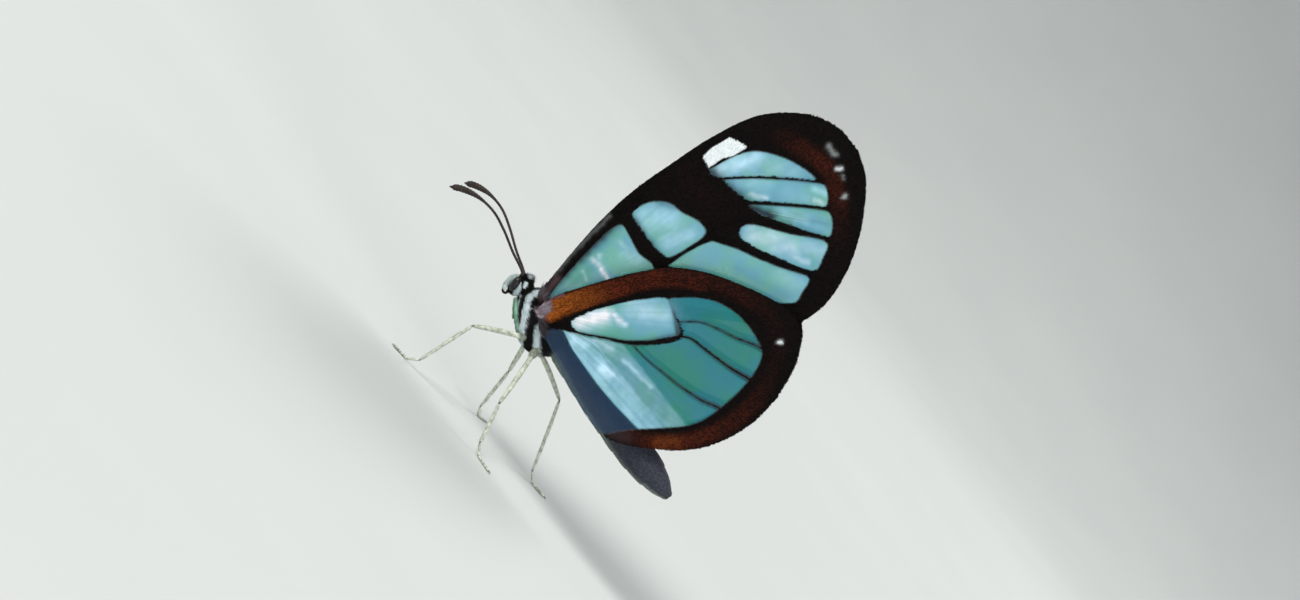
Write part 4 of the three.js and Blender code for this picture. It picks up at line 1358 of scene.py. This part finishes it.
def make_leg(name, side, joints, look):
    """Hip, thigh, shin with spurs, five foot joints and claws."""
    hip, knee, ankle, toe = (mirrored(point, side) for point in joints)
    parts = Parts()
    inward = hip + [0, -side * 0.25, 0.6]
    haunch = limb(parts, inward, hip + (knee - hip) * 0.09, HAUNCH)
    add_spines(parts, *haunch, 420, 0.34, 0.045, 0.35, 0.2, 0.98)
    add_spines(parts, *limb(parts, hip, knee, THIGH), 260, 0.16, 0.035, 0.3)
    shin = limb(parts, knee, ankle, SHIN)
    add_spines(parts, *shin, 240, 0.15, 0.03, 0.35)
    add_spines(parts, *shin, 34, 0.34, 0.035, 0.75)
    for turn in (-0.35, 0.35):
        spur = np.array([0.5 * np.sign(toe[0] - ankle[0]), turn, -0.35])
        limb(parts, ankle, ankle + spur, SPUR, steps=8)
    heel = ankle + (toe - ankle) * [0.3, 0.3, 0.0] + [0, 0, SOLE + 0.16 - ankle[2]]
    foot = evenly([ankle, heel, toe], FOOT_JOINT_ENDS[-1] + 1)
    foot[:, 2] = np.maximum(foot[:, 2], SOLE + FOOT_HEIGHT)
    for start, end in zip(FOOT_JOINT_ENDS[:-1], FOOT_JOINT_ENDS[1:]):
        built = limb(parts, foot[start], foot[end], FOOT_JOINT, steps=12)
        add_spines(parts, *built, 16, 0.13, 0.028, 0.7)
    heading = unit(foot[-1] - foot[-6])
    sideways = np.cross(heading, [0, 0, 1])
    for turn in (-1, 1):
        middle = foot[-1] + heading * 0.16 + sideways * turn * 0.09
        tip = foot[-1] + heading * 0.26 + sideways * turn * 0.12 + [0, 0, -0.08]
        tip[2] = max(tip[2], SOLE + 0.03)
        points, faces = tube_rings(evenly([foot[-1], middle, tip], 9), np.linspace(0.04, 0.014, 9), 8)
        parts.add(points, faces, joint=0.9)
    for points in parts.points:
        points[:, 2] = np.maximum(points[:, 2], SOLE)
    parts.make(name, "leg", look, [name])


def make_foreleg(word, side, look):
    """A short brush-like foreleg, folded under the front of the thorax."""
    path = evenly(mirrored(FORELEG_PATH, side), 70)
    along = steps_of(70)
    radius = 0.17 - 0.08 * along
    hairs = (800, 0.2, 0.026, 0.4)
    make_brush(f"foreleg_{word}", "leg", look, path, radius, 0.0, LIMB_SIDES, along * 0, hairs)


# Stage and light, in metres

FLOOR_HALF_WIDTH = 1.6
FLOOR_FRONT = -0.9
FLOOR_BACK = 0.45
BACKDROP_BEND = 0.35
BACKDROP_TOP = 1.6
LAMPS = [
    # name, place, size, power, colour
    ("key", (-0.35, -0.3, 0.5), 0.3, 4.0, (1.0, 0.98, 0.95)),
    ("fill", (0.45, -0.4, 0.2), 0.4, 1.5, (0.93, 0.97, 1.0)),
    ("rim", (0.2, 0.4, 0.4), 0.3, 1.8, (1.0, 1.0, 1.0)),
]
LAMPS_AIM = (0, 0, 0.018)
SKY = (0.86, 0.92, 0.95, 1)
SKY_POWER = 0.48


def make_stage():
    """A pale floor that curves up into a backdrop behind the animal."""
    profile = [(FLOOR_FRONT, 0.0), (FLOOR_BACK, 0.0)]
    for angle in np.linspace(0, math.pi / 2, 17)[1:].tolist():
        profile.append((FLOOR_BACK + BACKDROP_BEND * math.sin(angle), BACKDROP_BEND * (1 - math.cos(angle))))
    profile.append((FLOOR_BACK + BACKDROP_BEND, BACKDROP_TOP))
    points = [(x, y, z) for y, z in profile for x in (-FLOOR_HALF_WIDTH, FLOOR_HALF_WIDTH)]
    faces = [(2 * k, 2 * k + 1, 2 * k + 3, 2 * k + 2) for k in range(len(profile) - 1)]
    mesh = bpy.data.meshes.new("studio_floor")
    mesh.from_pydata(points, [], faces)
    mesh.polygons.foreach_set("use_smooth", [True] * len(faces))
    shader = Shader("studio_paper")
    shader.set(Base_Color=shader.tone("paper", shader.noise(40)), Roughness=0.85)
    mesh.materials.append(shader.material)
    floor = bpy.data.objects.new("studio_floor", mesh)
    bpy.context.collection.objects.link(floor)


def make_light():
    for name, place, size, power, colour in LAMPS:
        data = bpy.data.lights.new(name, "AREA")
        data.shape = "DISK"
        data.size = size
        data.energy = power
        data.color = colour
        lamp = bpy.data.objects.new(name, data)
        lamp.location = place
        lamp.rotation_euler = (Vector(LAMPS_AIM) - Vector(place)).to_track_quat("-Z", "Y").to_euler()
        bpy.context.collection.objects.link(lamp)
    world = bpy.data.worlds.new("studio")
    world.use_nodes = True
    background = world.node_tree.nodes["Background"]
    background.inputs[0].default_value = SKY
    background.inputs[1].default_value = SKY_POWER
    bpy.context.scene.world = world
    bpy.context.scene.view_settings.view_transform = "Standard"
    bpy.context.scene.cycles.transparent_max_bounces = 32  # many hairs and films lie behind one another


make_camera()
make_stage()
make_light()

wing_looks = (membrane_material("wing_membrane", 0.5), membrane_material("wing_ground", 0.05))
scale_look = scale_material()
make_wings("forewing", FOREWING, wing_looks, scale_look)
make_wings("hindwing", HINDWING, wing_looks, scale_look)

skin_look = skin_material()
hair_look = hair_material()
make_body(skin_look)
make_body_coat(hair_look)
make_shoulders(skin_look, hair_look)
make_wing_hair(hair_look)

leg_look = cuticle_material("leg_cuticle", "leg")
# Pale scales, tinted mint green by painted green reflected light
foreleg_look = cuticle_material("foreleg_scales", "foreleg")
palp_look = cuticle_material("palp_scales", "palp")
dark_look = cuticle_material("feeler_cuticle", "feeler")
eye_look = eye_material()
for word, side in SIDES.items():
    make_eye(word, side, eye_look)
    make_antenna(word, side, dark_look)
    make_palp(word, side, palp_look)
    make_foreleg(word, side, foreleg_look)
make_proboscis(dark_look)
for name, joints in LEGS.items():
    make_leg(name, SIDES[name.split("_")[1]], joints, leg_look)
